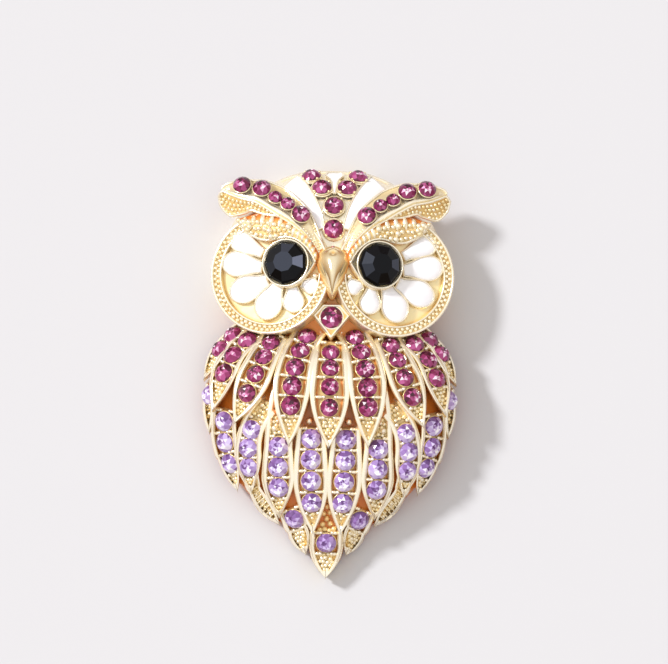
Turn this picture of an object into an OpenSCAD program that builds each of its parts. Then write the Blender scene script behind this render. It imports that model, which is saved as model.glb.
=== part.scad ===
// Owl brooch: a hollow gilt casting with raised feathers, enamel petals round the eyes and cut stones.
// The owl lies on its open back: +X to the right as seen from the front, +Y to the crown, +Z out of it.

/* [Brooch] */
// Length from the crown to the tail tip
brooch_len = 50.8; // [44:0.2:60]
// Width over the widest feathers
brooch_wid = 31.4; // [28:0.2:36]
// Height of the chest above the back rim
chest_h = 8.6; // [7:0.1:10]
// Height of the head's dome above the back rim
head_h = 8.0; // [7:0.1:9]
// Wall of the hollow casting
wall = 1.2; // [0.8:0.1:1.6]

/* [Feathers] */
// Width of the raised rim round each feather
rim_w = 0.44; // [0.3:0.02:0.5]
// Height of the rim over the feather's floor
rim_h = 0.75; // [0.5:0.05:1]
// Step from one layer of feathers to the next
layer_step = 0.9; // [0.6:0.05:1.1]
// How far the shell lies under the tail feathers' floor
shell_drop = 0.7; // [0.5:0.05:0.9]
// How far a feather runs on under the layer above its first stone
root_len = 2; // [1.6:0.1:2.4]

/* [Face] */
// Radius of the round face discs
disc_r = 7.6; // [7.2:0.1:7.9]
// Width of the beaded border of a face disc
disc_border = 1.2; // [1:0.1:1.5]
// Height of the border over the disc's floor
disc_lip = 0.8; // [0.5:0.05:1]
// Outward lean of a face disc
disc_lean = 15; // [8:1:20]
// Height of a disc's floor at its middle
disc_z = 7.5; // [7:0.1:8.2]
// Width of the gold wires round the enamel
cell_wire = 0.25; // [0.15:0.01:0.3]
// Height of those wires
cell_h = 0.6; // [0.4:0.05:0.8]
// Height of the beak's ridge above the back rim
beak_z = 11.4; // [10.8:0.1:12]

/* [Stones] */
// Diameter of the small stones
stone_d = 2.4; // [1.8:0.05:2.5]
// Height of a small stone
stone_h = 1.1; // [0.8:0.05:1.3]
// Diameter of the eye stones
eye_d = 5.4; // [4.6:0.1:5.6]
// Height of an eye stone
eye_h = 2.1; // [1.6:0.1:2.4]
// Diameter of the chin stone
chin_d = 2.7; // [2:0.1:2.9]
// Share of a stone's width that its table takes
table_share = 0.5; // [0.4:0.02:0.6]

/* [Clearances] */
// Gap between a stone or an enamel fill and the casting
seat_gap = 0.12; // [0.1:0.01:0.16]

/* [Pin] */
// Length of the pin finding
pin_len = 19; // [15:0.5:20]
// Diameter of the pin stem
stem_d = 0.9; // [0.7:0.05:1.1]
// Width of the finding's bar
bar_w = 2.6; // [2:0.1:3.2]
// Thickness of the bar
bar_t = 0.9; // [0.7:0.05:1.1]
// Height of the stem above the back rim
stem_z = 1.2; // [1:0.05:1.4]
// Length of the hinge block
hinge_len = 2.2; // [1.8:0.1:3]
// Width of the catch
catch_w = 1.2; // [1:0.1:2]
// Thickness of the catch's hook
hook_t = 0.7; // [0.5:0.05:0.8]

/* [Hidden] */
half_l = brooch_len / 2;
half_w = brooch_wid / 2;
eps = 0.01;
dome_power = 2.4;
dome_edge = 0.3;
bow_skew = 0.6;
border_facets = 28;
small_facets = 8;
eye_facets = 10;
culet_share = 0.34;
gem_low = 0.42;
gem_high = 1 - gem_low;
disc_depth = 4.2;
lid_h = 0.9;
brow_drop = 2.6;
crest_r = 0.25;

// Sections of the body: place along the half length, half width, crown height, as shares
BODY = [
    [-1.00, 0.10, 0.27], [-0.89, 0.19, 0.38], [-0.79, 0.30, 0.51], [-0.72, 0.42, 0.59], [-0.65, 0.55, 0.67],
    [-0.57, 0.70, 0.76], [-0.47, 0.82, 0.85], [-0.36, 0.90, 0.92], [-0.27, 0.945, 0.97],
    [-0.18, 0.96, 1.00], [-0.06, 0.945, 0.99], [0.04, 0.90, 0.90], [0.12, 0.85, 0.76], [0.20, 0.77, 0.60], [0.30, 0.66, 0.44]];

// Sections of the head: place along the half length, half width, crown height, as shares
HEAD = [
    [0.16, 0.50, 0.84], [0.24, 0.66, 0.92], [0.32, 0.80, 0.97], [0.44, 0.89, 1.00], [0.56, 0.89, 1.02],
    [0.68, 0.84, 1.03], [0.76, 0.78, 1.00], [0.82, 0.70, 0.94], [0.88, 0.61, 0.85], [0.93, 0.52, 0.73],
    [0.97, 0.42, 0.59], [1.00, 0.30, 0.42]];

// Feathers of the right half: layer, first stone x and y, tip x and y, sideways bow, half width, stones,
// share of the way to the tip that the last stone takes, growth of the stones' pitch, place of its widest.
// The layers are 2 for the breast, 1 for the tail and 0 for the feathers under the tail.
FEATHERS = [
    [2, 0.780, 0.175, 0.995, -0.053, 0.022, 0.105, 2, 0.35, 1.00, 0.42],
    [2, 0.660, 0.143, 0.917, -0.212, 0.050, 0.120, 3, 0.51, 1.02, 0.42],
    [2, 0.471, 0.127, 0.740, -0.273, 0.004, 0.127, 4, 0.64, 1.12, 0.42],
    [2, 0.187, 0.164, 0.309, -0.381, 0.048, 0.137, 5, 0.65, 1.08, 0.42],
    [1, 0.952, -0.124, 0.940, -0.310, 0.006, 0.060, 1, 0.00, 1.00, 0.30],
    [1, 0.825, -0.258, 0.706, -0.588, 0.025, 0.135, 3, 0.60, 1.01, 0.42],
    [1, 0.604, -0.300, 0.594, -0.603, 0.027, 0.104, 3, 0.59, 1.02, 0.42],
    [1, 0.390, -0.381, 0.374, -0.719, 0.004, 0.118, 3, 0.57, 1.00, 0.42],
    [1, 0.136, -0.341, 0.107, -0.791, 0.006, 0.126, 4, 0.67, 1.01, 0.42],
    [0, 0.256, -0.718, 0.157, -0.886, 0.000, 0.100, 1, 0.00, 1.00, 0.35],
    [0, 0.585, -0.590, 0.397, -0.752, 0.040, 0.095, 0, 0.00, 1.00, 0.42]];

// The two feathers on the centre line, in the same columns
CENTRE = [
    [2, 0.000, 0.081, 0.000, -0.388, 0.000, 0.142, 4, 0.585, 1.12, 0.42],
    [0, 0.000, -0.830, 0.000, -1.000, 0.000, 0.120, 1, 0.00, 1.00, 0.05]];

// Enamel petals of one disc, from its middle: root x and y, end x and y, half width, as shares of its
// radius, and the place of its widest
PETALS = [
    [0.143, 0.327, 0.668, 0.605, 0.160, 0.72],
    [0.150, 0.098, 0.800, 0.190, 0.196, 0.65],
    [0.055, -0.117, 0.655, -0.362, 0.210, 0.60],
    [-0.129, -0.194, 0.118, -0.735, 0.215, 0.58],
    [-0.380, -0.229, -0.420, -0.638, 0.165, 0.60],
    [-0.548, -0.179, -0.790, -0.250, 0.125, 0.60]];

// Brow of the right half, from the beak to the ear tip: x and y of the stones' line, its height as a
// share of the head's, the angle its section is turned by, and the section's reach up to the back edge,
// down to the crest and on over the tuft's lower face, as shares of a stone's width
BROW = [
    [0.080, 0.531, 1.220, 72, 0.15, 0.17, 0.06], [0.104, 0.575, 1.245, 69, 0.19, 0.22, 0.06],
    [0.141, 0.629, 1.255, 65, 0.25, 0.30, 0.06], [0.186, 0.683, 1.240, 58, 0.32, 0.44, 0.06],
    [0.256, 0.745, 1.210, 47, 0.43, 0.63, 0.08], [0.362, 0.798, 1.165, 34, 0.55, 0.72, 0.08],
    [0.461, 0.830, 1.115, 31, 0.68, 0.64, 0.38], [0.572, 0.876, 1.055, 24, 0.46, 0.70, 0.54],
    [0.651, 0.884, 1.015, 12, 0.37, 0.63, 0.71], [0.730, 0.893, 0.970, 7, 0.34, 0.59, 0.91],
    [0.813, 0.893, 0.930, 2, 0.15, 0.40, 1.10], [0.868, 0.887, 0.890, 8, 0.08, 0.16, 0.85],
    [0.890, 0.874, 0.870, 12, 0.04, 0.08, 0.45]];
// Stones on the brow: row of the table, share of the small stones' width
BROW_STONES = [[4, 0.95], [5, 0.73], [6, 0.72], [7, 0.93], [9, 0.92]];
// Stones of the forehead: x and y
CREST_STONES = [[-0.186, 0.962], [0.186, 0.962], [-0.100, 0.897], [0.100, 0.897], [0, 0.800], [0, 0.681]];
// The forehead's enamel band: x and y at its lower end, middle and upper end, and how much its lower end
// narrows
BAND = [[0.110, 0.681], [0.191, 0.815], [0.324, 0.924]];
band_half = 0.85;
band_taper = 0.2;
// The enamel patch on the crown: place along the half length, half width as a share of a stone's
PATCH = [[0.866, 0.03], [0.900, 0.08], [0.935, 0.14], [0.955, 0.30], [0.970, 0.42], [0.984, 0.34]];
// Beak: place along the half length, half width, ridge and side heights as shares of the beak's height
BEAK = [
    [0.590, 0.030, 0.890, 0.850], [0.568, 0.095, 0.940, 0.870], [0.535, 0.130, 0.975, 0.875],
    [0.480, 0.115, 1.000, 0.870], [0.420, 0.082, 1.000, 0.860], [0.370, 0.048, 0.970, 0.850],
    [0.332, 0.012, 0.900, 0.840]];
// Middle of a disc and of its eye, and the chin stone
disc_at = [0.480 * half_w, 0.463 * half_l];
eye_at = [-0.293 * disc_r, 0.145 * disc_r];
chin_at = [0, 0.249 * half_l];
chin_z = 8.9 / 8 * head_h;
eye_step = 0.55;
pin_y = 0.42 * half_l;
tail_end = -0.82 * half_l;
neck_start = 0.17 * half_l;
neck_end = 0.28 * half_l;

gold = "#E8C98A";
enamel = "#FAFAFC";
fuchsia = "#A8327F";
lilac = "#B49AD8";
jet = "#15151A";
steel = "#C9CBD0";

// Smooth value of a table's column at a place: a cubic through the rows on each side
function row_of(t, at, i = 0) = i >= len(t) - 2 || at < t[i + 1][0] ? i : row_of(t, at, i + 1);
function slope_of(t, c, i) =
    i == 0 ? (t[1][c] - t[0][c]) / (t[1][0] - t[0][0])
    : i == len(t) - 1 ? (t[i][c] - t[i - 1][c]) / (t[i][0] - t[i - 1][0])
    : (t[i + 1][c] - t[i - 1][c]) / (t[i + 1][0] - t[i - 1][0]);
function smooth_col(t, at, c) =
    let (i = row_of(t, at), step = t[i + 1][0] - t[i][0], u = (at - t[i][0]) / step)
    (2 * u ^ 3 - 3 * u ^ 2 + 1) * t[i][c] + (u ^ 3 - 2 * u ^ 2 + u) * step * slope_of(t, c, i)
    + (3 * u ^ 2 - 2 * u ^ 3) * t[i + 1][c] + (u ^ 3 - u ^ 2) * step * slope_of(t, c, i + 1);

// Nested domes, each the given distance above the floor of the tail feathers or the forehead, arched
// across and steep at their edges
function dome_wide(t, y) = smooth_col(t, y / half_l, 1) * half_w;
function dome_high(t, y, h) = smooth_col(t, y / half_l, 2) * h;
function dome_z(t, h, x, y, up) =
    let (w = dome_wide(t, y) + up, a = min(1, abs(x) / max(w, eps)))
    (dome_high(t, y, h) + up) * (dome_edge + (1 - dome_edge) * sqrt(1 - a ^ dome_power));
function body_z(x, y, up) = dome_z(BODY, chest_h, x, y, up);
function brow_z(x, y, up) = dome_z(HEAD, head_h, x, y, up);
function unit(v) = v / norm(v);
function body_out(x, y, up, d = 0.05) =
    unit([body_z(x - d, y, up) - body_z(x + d, y, up), body_z(x, y - d, up) - body_z(x, y + d, up), 2 * d]);
function head_out(x, y, up, d = 0.05) =
    unit([brow_z(x - d, y, up) - brow_z(x + d, y, up), brow_z(x, y - d, up) - brow_z(x, y + d, up), 2 * d]);

// A solid through rings of as many points each, closed by its first and last ring.
// Seen along the way, each ring runs clockwise.
module loft(rings) {
    m = len(rings[0]);
    last = len(rings) - 1;
    polyhedron([for (r = rings) each r], [
        [for (j = [0:m - 1]) j], [for (j = [m - 1:-1:0]) last * m + j],
        for (i = [0:last - 1], j = [0:m - 1]) let (k = (j + 1) % m)
            [i * m + j, (i + 1) * m + j, (i + 1) * m + k],
        for (i = [0:last - 1], j = [0:m - 1]) let (k = (j + 1) % m)
            [i * m + j, (i + 1) * m + k, i * m + k]]);
}

// A dome as one solid from its sections, cut at the back rim or carried through it
module dome(t, h, up, y0, y1, floor_z, rows = 12, across = 10) {
    loft([for (i = [0:rows]) let (y = y0 + (y1 - y0) * i / rows, w = dome_wide(t, y) + up)
        concat([[-w, y, floor_z]], [for (j = [0:across]) let (x = w * sin(-90 + 180 * j / across))
            [x, y, dome_z(t, h, x, y, up)]], [[w, y, floor_z]])]);
}

// A feather's axis in plan, from its root under the layer above to its tip
function foot(f) = [f[1] * half_w, f[2] * half_l];
function tip(f) = [f[3] * half_w, f[4] * half_l];
function axis_at(f, t) =
    let (a = foot(f), b = tip(f), d = unit(b - a), s = 4 * t * (1 - t) * (1 + bow_skew * (1 - 2 * t)))
    a + (b - a) * t + [-d.y, d.x] * f[5] * half_w * s;
function leaf_half(t, t0) =
    t < t0 ? 1 - 0.4 * (t0 - max(t, 0)) : max(0.008, 1 - ((t - t0) / (1 - t0)) ^ 2);
function layer_up(f) = f[0] == 2 ? layer_step : f[0] == 1 ? 0 : -layer_step * 0.55;
function body_point(p, up) = [p.x, p.y, body_z(p.x, p.y, up)];

// A leaf-shaped dish on the body's dome: outer wall, rim, inner wall and floor at each station
module feather(f, stations = 6) {
    up = layer_up(f);
    half = f[6] * half_w;
    long = norm(tip(f) - foot(f));
    root = -root_len / long;
    base = -shell_drop - 0.4;
    draw = 1 - 2.2 * rim_w / long;
    function side(t, w) = let (c = axis_at(f, t), d = unit(axis_at(f, t + 0.02) - axis_at(f, t - 0.02)),
        s = [-d.y, d.x], rise = (body_point(c + s, up).z - body_point(c - s, up).z) / 2)
        c + s * w / sqrt(1 + rise ^ 2);
    loft([for (i = [0:stations]) let (
            t = root + (1 - root) * (i / stations), u = root + (draw - root) * (i / stations),
            w = half * leaf_half(t, f[10]),
            v = i == stations ? 0.02 : max(0.02, half * leaf_half(u, f[10]) - rim_w))
        [body_point(side(t, w), base), body_point(side(t, w), up + rim_h),
            body_point(side(u, v), up + rim_h), body_point(side(u, v), up),
            body_point(side(u, -v), up), body_point(side(u, -v), up + rim_h),
            body_point(side(t, -w), up + rim_h), body_point(side(t, -w), base)]]);
}

// A cut stone: culet, girdle and table rings, its girdle's middle at the origin
function round_ring(r, z, n) = [for (i = [0:n - 1]) [r * cos(i * 360 / n), r * sin(i * 360 / n), z]];
module gem(d, h, facets) {
    rings = [[culet_share * d, -gem_low * h], [0.5 * d, 0], [0.5 * d * table_share, gem_high * h]];
    polyhedron(
        [for (r = rings) each round_ring(r[0], r[1], facets)],
        [[for (i = [0:facets - 1]) i], [for (i = [facets - 1:-1:0]) 2 * facets + i],
            for (k = [0:1], i = [0:facets - 1]) let (j = (i + 1) % facets)
                [k * facets + i, (k + 1) * facets + i, (k + 1) * facets + j, k * facets + j]]);
}

// The room a stone needs, with a gap all round and open above
module gem_room(d, h, facets) {
    translate([0, 0, -gem_low * h - seat_gap / 2])
        cylinder(h = 1.5 * h, r = d / 2 + seat_gap, $fn = facets);
}

// Stands its children on a point, their Z along the given outward direction
module stand(at, out) {
    side = unit(cross([0, 1, 0], out));
    ahead = cross(out, side);
    multmatrix([[side.x, ahead.x, out.x, at.x], [side.y, ahead.y, out.y, at.y],
        [side.z, ahead.z, out.z, at.z], [0, 0, 0, 1]]) children();
}

// Places and widths of the stones in one feather
function stone_up(f) = layer_up(f) + seat_gap + gem_low * stone_h;
function stone_place(f, i) = let (p = axis_at(f, f[7] < 2 ? 0 : f[8] * (i / (f[7] - 1)) ^ f[9]))
    body_point(p, stone_up(f));
function stone_wide(f) = min(concat([stone_d],
    f[7] < 2 ? [] : [for (i = [0:f[7] - 2]) norm(stone_place(f, i + 1) - stone_place(f, i)) - seat_gap]));
module stone_row(f, room = false) {
    for (i = [0:1:f[7] - 1]) let (p = stone_place(f, i)) stand(p, body_out(p.x, p.y, stone_up(f)))
        if (room) gem_room(stone_wide(f), stone_h, small_facets);
        else gem(stone_wide(f), stone_h, small_facets);
}
module both_sides() {
    children();
    mirror([1, 0, 0]) children();
}
module stones_of(low, high, room = false) {
    for (f = FEATHERS) if (f[0] >= low && f[0] <= high) both_sides() stone_row(f, room);
    for (f = CENTRE) if (f[0] >= low && f[0] <= high) stone_row(f, room);
}

// Moves its children onto a face disc's floor, X outward and Z off the floor
module on_disc(side) {
    mirror([side < 0 ? 1 : 0, 0, 0]) translate([disc_at.x, disc_at.y, disc_z])
        rotate([0, disc_lean, 0]) children();
}

// Outline of a petal, widest beyond its middle and round at its end, grown or shrunk by a margin
function petal_half(t, t0) = t < t0 ? 0.45 + 0.55 * (3 * (t / t0) ^ 2 - 2 * (t / t0) ^ 3)
    : sqrt(max(0, 1 - ((t - t0) / (1 - t0)) ^ 2));
function petal_outline(p, grow, n = 4) =
    let (a = [p[0], p[1]] * disc_r, b = [p[2], p[3]] * disc_r, d = unit(b - a), s = [-d.y, d.x],
        a2 = a - d * grow, b2 = b + d * grow)
    [for (e = [1, -1], k = [0:n]) let (i = e > 0 ? k : n - k, t = sin(90 * i / n))
        a2 + (b2 - a2) * t + s * e * max(0.08, p[4] * disc_r * petal_half(t, p[5]) + grow)];
module petal_solid(p, grow, z0, z1) {
    translate([0, 0, z0]) linear_extrude(z1 - z0) polygon(petal_outline(p, grow));
}

// The face disc: floor, beaded border, petal cells and the eye's almond setting
module disc_dish() {
    difference() {
        union() {
            rotate_extrude($fn = border_facets) polygon([
                [0, -disc_depth], [disc_r - 0.9, -disc_depth], [disc_r, -disc_depth * 0.4],
                [disc_r, disc_lip * 0.7], [disc_r - 0.3, disc_lip], [disc_r - disc_border, disc_lip],
                [disc_r - disc_border, 0], [0, 0]]);
            for (p = PETALS) petal_solid(p, cell_wire, -0.2, cell_h);
            translate([eye_at.x, eye_at.y, 0]) hull() {
                cylinder(h = eye_step + eye_h * 0.5, r = eye_d / 2 + 0.45, $fn = 20);
                translate([-eye_d * 0.72, -0.1, 0]) cylinder(h = eye_step + eye_h * 0.35, r = 0.2, $fn = 8);
            }
        }
        for (p = PETALS) petal_solid(p, 0, -eps, disc_lip + 1);
        translate([eye_at.x, eye_at.y, eye_step]) cylinder(h = eye_h, r = eye_d / 2 + seat_gap, $fn = 20);
    }
}

// The granulated lid over the eye, bounded by a wire that dips at the eye
module lid() {
    lid_pts = [[-0.79, 0.16], [-0.66, 0.36], [-0.50, 0.50], [-0.25, 0.57], [0.02, 0.53], [0.30, 0.61],
        [0.52, 0.84], [0.60, 0.90], [0.30, 1.02], [-0.05, 1.05], [-0.35, 0.91], [-0.62, 0.67],
        [-0.82, 0.40]];
    translate([0, 0, -0.5]) linear_extrude(0.5 + lid_h) polygon(lid_pts * disc_r);
}

// One brow: the stone band, its crest and the tuft's lower face
function brow_place(i) = [BROW[i][0] * half_w, BROW[i][1] * half_l, BROW[i][2] * head_h];
function brow_ring(i) = let (p = brow_place(i), s = [sin(BROW[i][3]), -cos(BROW[i][3])],
        back = BROW[i][4] * stone_d, crest = BROW[i][5] * stone_d, tuft = BROW[i][6] * stone_d,
        edge = crest + max(tuft, crest_r))
    [[p.x - s.x * back, p.y - s.y * back, p.z - back * 0.8],
        [p.x + s.x * (crest - crest_r), p.y + s.y * (crest - crest_r), p.z + 0.1],
        [p.x + s.x * crest, p.y + s.y * crest, p.z + 0.1 + crest_r],
        [p.x + s.x * (crest + crest_r * 0.6), p.y + s.y * (crest + crest_r * 0.6), p.z],
        [p.x + s.x * edge, p.y + s.y * edge, p.z - tuft * 0.4 - 0.2],
        [p.x + s.x * (edge - 0.2 * tuft), p.y + s.y * (edge - 0.2 * tuft), p.z - brow_drop],
        [p.x - s.x * back * 0.8, p.y - s.y * back * 0.8, p.z - brow_drop]];
module brow() loft([for (i = [0:len(BROW) - 1]) brow_ring(i)]);
// The stones' line on the band at a row of the table, and the band's outward direction there
function brow_mid(i) = let (r = BROW[i], ring = brow_ring(i), across = ring[1] - ring[0],
    out = unit(cross(brow_place(i + 1) - brow_place(i - 1), across)))
    [ring[0] + across * r[4] / (r[4] + r[5] - crest_r / stone_d), out.z < 0 ? -out : out];
module brow_stone(side, i) {
    m = brow_mid(BROW_STONES[i - 1][0]);
    lift = 2 * seat_gap + gem_low * stone_h;
    color(fuchsia) mirror([side < 0 ? 1 : 0, 0, 0]) stand(m[0] + [0, 0, lift / m[1].z], m[1])
        gem(stone_d * BROW_STONES[i - 1][1], stone_h, small_facets);
}

// A raised strip on the forehead along three points, its floor let in for the enamel
function strip_side(c, w, t) = let (
        pull = 2 * c[1] - (c[0] + c[2]) / 2,
        p = c[0] * (1 - t) ^ 2 + pull * 2 * t * (1 - t) + c[2] * t ^ 2,
        d = unit((pull - c[0]) * (1 - t) + (c[2] - pull) * t))
    p + [-d.y, d.x] * w;
module strip(c, grow, lo, hi, n = 6) {
    loft([for (i = [0:n]) let (w = band_half * (band_taper + (1 - band_taper) * i / n) + grow,
            l = strip_side(c, w, i / n), r = strip_side(c, -w, i / n))
        [[l.x, l.y, brow_z(l.x, l.y, lo)], [l.x, l.y, brow_z(l.x, l.y, hi)],
            [r.x, r.y, brow_z(r.x, r.y, hi)], [r.x, r.y, brow_z(r.x, r.y, lo)]]]);
}
function band_line(side) = [for (p = BAND) [p.x * half_w * side, p.y * half_l]];

// The beak: a ridged, tapering hook between the discs
module beak() {
    loft([for (b = BEAK) let (y = b[0] * half_l, w = b[1] * half_w, r = b[2] * beak_z, s = b[3] * beak_z)
        [[w, y, s - 1], [w, y, s], [w * 0.55, y, s + (r - s) * 0.72], [0, y, r],
            [-w * 0.55, y, s + (r - s) * 0.72], [-w, y, s], [-w, y, s - 1]]]);
}

// The chin's kite-shaped setting with its round seat
module chin_setting() {
    kite = [[-2.3, 0.2], [0, -2.7], [2.3, 0.2], [1.1, 1.6], [-1.1, 1.6]];
    difference() {
        translate([chin_at.x, chin_at.y, chin_z - 4.4]) linear_extrude(4.9) polygon(kite * chin_d / 2.7);
        translate([chin_at.x, chin_at.y, chin_z - gem_low * stone_h - seat_gap])
            cylinder(h = 3, r = chin_d / 2 + seat_gap, $fn = 20);
    }
}

// Flat bosses in the hollow that carry the pin finding
boss_x = pin_len / 2 - 2;
boss_z = stem_z + stem_d / 2 + 2.5;
module bosses() {
    for (s = [-1, 1]) translate([s * boss_x, pin_y, boss_z])
        cylinder(h = brow_z(boss_x, pin_y, -wall / 2) - boss_z, r = 1.2, $fn = 16);
}

// The cavity behind the body and head, open at the back rim
module hollow() {
    dome(BODY, chest_h, -shell_drop - wall, tail_end + wall, neck_end + eps, -1);
    dome(HEAD, head_h, -wall, neck_start + wall, half_l - wall, -1);
}

module owl_casting() color(gold) {
    difference() {
        union() {
            dome(BODY, chest_h, -shell_drop, tail_end, neck_end, 0);
            dome(HEAD, head_h, 0, neck_start, half_l, 0);
            for (f = FEATHERS) both_sides() feather(f);
            for (f = CENTRE) feather(f);
            for (s = [-1, 1]) on_disc(s) {
                disc_dish();
                lid();
            }
            both_sides() brow();
            chin_setting();
        }
        hollow();
        stones_of(0, 2, true);
    }
    for (s = [-1, 1]) difference() {
        strip(band_line(s), cell_wire, -0.5, cell_h);
        strip(band_line(s), 0, seat_gap, cell_h + 1);
    }
    beak();
    bosses();
}

module petal(side, i) color(enamel) on_disc(side)
    petal_solid(PETALS[i - 1], -seat_gap, seat_gap, cell_h + 0.1);
module forehead_band(side) color(enamel)
    strip(band_line(side), -seat_gap, 2 * seat_gap, cell_h + 0.1);
module crown_patch() color(enamel) loft([for (r = PATCH) let (y = r[0] * half_l, w = r[1] * stone_d)
    [[-w, y, brow_z(w, y, seat_gap)], [-w, y, brow_z(w, y, cell_h)],
        [w, y, brow_z(w, y, cell_h)], [w, y, brow_z(w, y, seat_gap)]]]);
module eye_stone(side) color(jet) on_disc(side)
    translate([eye_at.x, eye_at.y, eye_step + seat_gap + gem_low * eye_h]) gem(eye_d, eye_h, eye_facets);
module chin_stone() color(fuchsia)
    translate([chin_at.x, chin_at.y, chin_z]) gem(chin_d, stone_h, small_facets);
module crest_stone(i) {
    p = [CREST_STONES[i - 1].x * half_w, CREST_STONES[i - 1].y * half_l];
    up = 2 * seat_gap + gem_low * stone_h;
    color(fuchsia) stand([p.x, p.y, brow_z(p.x, p.y, up)], head_out(p.x, p.y, up))
        gem(stone_d, stone_h, small_facets);
}
module breast_stones() color(fuchsia) stones_of(2, 2);
module tail_stones() color(lilac) stones_of(0, 1);

// The hidden pin: bar, hinge block, stem and catch in one
module pin_finding() color(steel) {
    bar_z = boss_z - seat_gap - bar_t;
    low = stem_z - hook_t - 0.05;
    catch_x = pin_len / 2 - catch_w - 0.4;
    back = pin_y - bar_w / 2;
    translate([-pin_len / 2, back, bar_z]) cube([pin_len, bar_w, bar_t]);
    translate([-pin_len / 2, back, low]) cube([hinge_len, bar_w, bar_z - low + eps]);
    translate([hinge_len / 2 - pin_len / 2, pin_y, stem_z]) rotate([0, 90, 0])
        cylinder(h = pin_len - hinge_len / 2, d = stem_d, $fn = 24);
    translate([catch_x, back, low]) cube([catch_w, hook_t, bar_z - low + eps]);
    translate([catch_x, back, low]) cube([catch_w, bar_w / 2 + stem_d / 2, hook_t]);
}

owl_casting();
pin_finding();
petal(-1, 1);  // petal_left_1
petal(-1, 2);  // petal_left_2
petal(-1, 3);  // petal_left_3
petal(-1, 4);  // petal_left_4
petal(-1, 5);  // petal_left_5
petal(-1, 6);  // petal_left_6
petal(1, 1);  // petal_right_1
petal(1, 2);  // petal_right_2
petal(1, 3);  // petal_right_3
petal(1, 4);  // petal_right_4
petal(1, 5);  // petal_right_5
petal(1, 6);  // petal_right_6
forehead_band(-1);  // forehead_band_left
forehead_band(1);  // forehead_band_right
crown_patch();
eye_stone(-1);  // eye_stone_left
eye_stone(1);  // eye_stone_right
chin_stone();
crest_stone(1);  // crest_stone_1
crest_stone(2);  // crest_stone_2
crest_stone(3);  // crest_stone_3
crest_stone(4);  // crest_stone_4
crest_stone(5);  // crest_stone_5
crest_stone(6);  // crest_stone_6
brow_stone(-1, 1);  // brow_stone_left_1
brow_stone(-1, 2);  // brow_stone_left_2
brow_stone(-1, 3);  // brow_stone_left_3
brow_stone(-1, 4);  // brow_stone_left_4
brow_stone(-1, 5);  // brow_stone_left_5
brow_stone(1, 1);  // brow_stone_right_1
brow_stone(1, 2);  // brow_stone_right_2
brow_stone(1, 3);  // brow_stone_right_3
brow_stone(1, 4);  // brow_stone_right_4
brow_stone(1, 5);  // brow_stone_right_5
breast_stones();
tail_stones();
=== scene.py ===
from collections import namedtuple
import bpy
import numpy as np
from mathutils import Matrix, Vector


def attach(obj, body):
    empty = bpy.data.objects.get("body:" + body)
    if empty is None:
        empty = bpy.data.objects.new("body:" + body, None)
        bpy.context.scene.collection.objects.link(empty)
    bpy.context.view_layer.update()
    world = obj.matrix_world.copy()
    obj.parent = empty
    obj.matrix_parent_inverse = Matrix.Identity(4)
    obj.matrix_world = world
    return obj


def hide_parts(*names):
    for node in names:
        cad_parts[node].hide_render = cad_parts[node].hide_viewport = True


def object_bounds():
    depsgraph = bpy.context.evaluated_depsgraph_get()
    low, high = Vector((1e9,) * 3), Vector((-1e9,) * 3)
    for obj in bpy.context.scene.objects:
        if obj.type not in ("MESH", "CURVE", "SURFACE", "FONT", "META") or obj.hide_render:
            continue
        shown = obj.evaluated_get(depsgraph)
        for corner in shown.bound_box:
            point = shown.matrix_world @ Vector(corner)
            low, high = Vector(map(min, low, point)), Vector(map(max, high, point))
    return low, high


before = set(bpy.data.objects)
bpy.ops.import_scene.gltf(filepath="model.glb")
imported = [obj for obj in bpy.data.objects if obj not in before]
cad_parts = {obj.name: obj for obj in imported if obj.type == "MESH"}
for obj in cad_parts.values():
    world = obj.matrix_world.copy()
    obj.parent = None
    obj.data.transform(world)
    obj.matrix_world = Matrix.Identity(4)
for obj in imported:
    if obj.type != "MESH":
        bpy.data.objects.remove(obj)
cad_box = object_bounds()


# The casting's shell: body and head are one hollow zinc-alloy casting with an open back and a flat rim,
# polished and gilded a pale yellow. Everything else is cast on it or set into it.
MM = 0.001
half_l = (cad_box[1].y - cad_box[0].y) / 2 / MM
half_w = 0.618 * half_l
chest_h, head_h = 0.3386 * half_l, 0.315 * half_l
wall, shell_drop = 1.2, 0.7
dome_power, dome_edge = 2.4, 0.3
# Place along the half length, half width as a share of the brooch's, crown height as a share of the dome's
BODY = np.array([
    [-1.00, 0.10, 0.27], [-0.89, 0.19, 0.38], [-0.79, 0.30, 0.51], [-0.72, 0.42, 0.59], [-0.65, 0.55, 0.67],
    [-0.57, 0.70, 0.76], [-0.47, 0.82, 0.85], [-0.36, 0.90, 0.92], [-0.27, 0.945, 0.97],
    [-0.18, 0.96, 1.00], [-0.06, 0.945, 0.99], [0.04, 0.90, 0.90], [0.12, 0.85, 0.76], [0.20, 0.77, 0.60],
    [0.30, 0.66, 0.44]])
HEAD = np.array([
    [0.16, 0.50, 0.84], [0.24, 0.66, 0.92], [0.32, 0.80, 0.97], [0.44, 0.89, 1.00], [0.56, 0.89, 1.02],
    [0.68, 0.84, 1.03], [0.76, 0.78, 1.00], [0.82, 0.70, 0.94], [0.88, 0.61, 0.85], [0.93, 0.52, 0.73],
    [0.97, 0.42, 0.59], [1.00, 0.30, 0.42]])


def colour(code):
    """sRGB hex to linear: a channel c over 0.04045 is ((c + 0.055) / 1.055) to the power 2.4, else c / 12.92."""
    c = np.array([int(code[i:i + 2], 16) / 255 for i in (1, 3, 5)])
    return (*np.where(c > 0.04045, ((c + 0.055) / 1.055) ** 2.4, c / 12.92), 1.0)


def add(tree, kind, links=None, **settings):
    """Adds a node; settings are its values or, with _ for a space, its sockets' values, and links feed sockets."""
    node = tree.nodes.new(kind)
    for name, value in settings.items():
        if hasattr(node, name):
            setattr(node, name, value)
        else:
            node.inputs[name.replace("_", " ")].default_value = value
    for name, source in (links or {}).items():
        tree.links.new(source, node.inputs[name])
    return node


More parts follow.
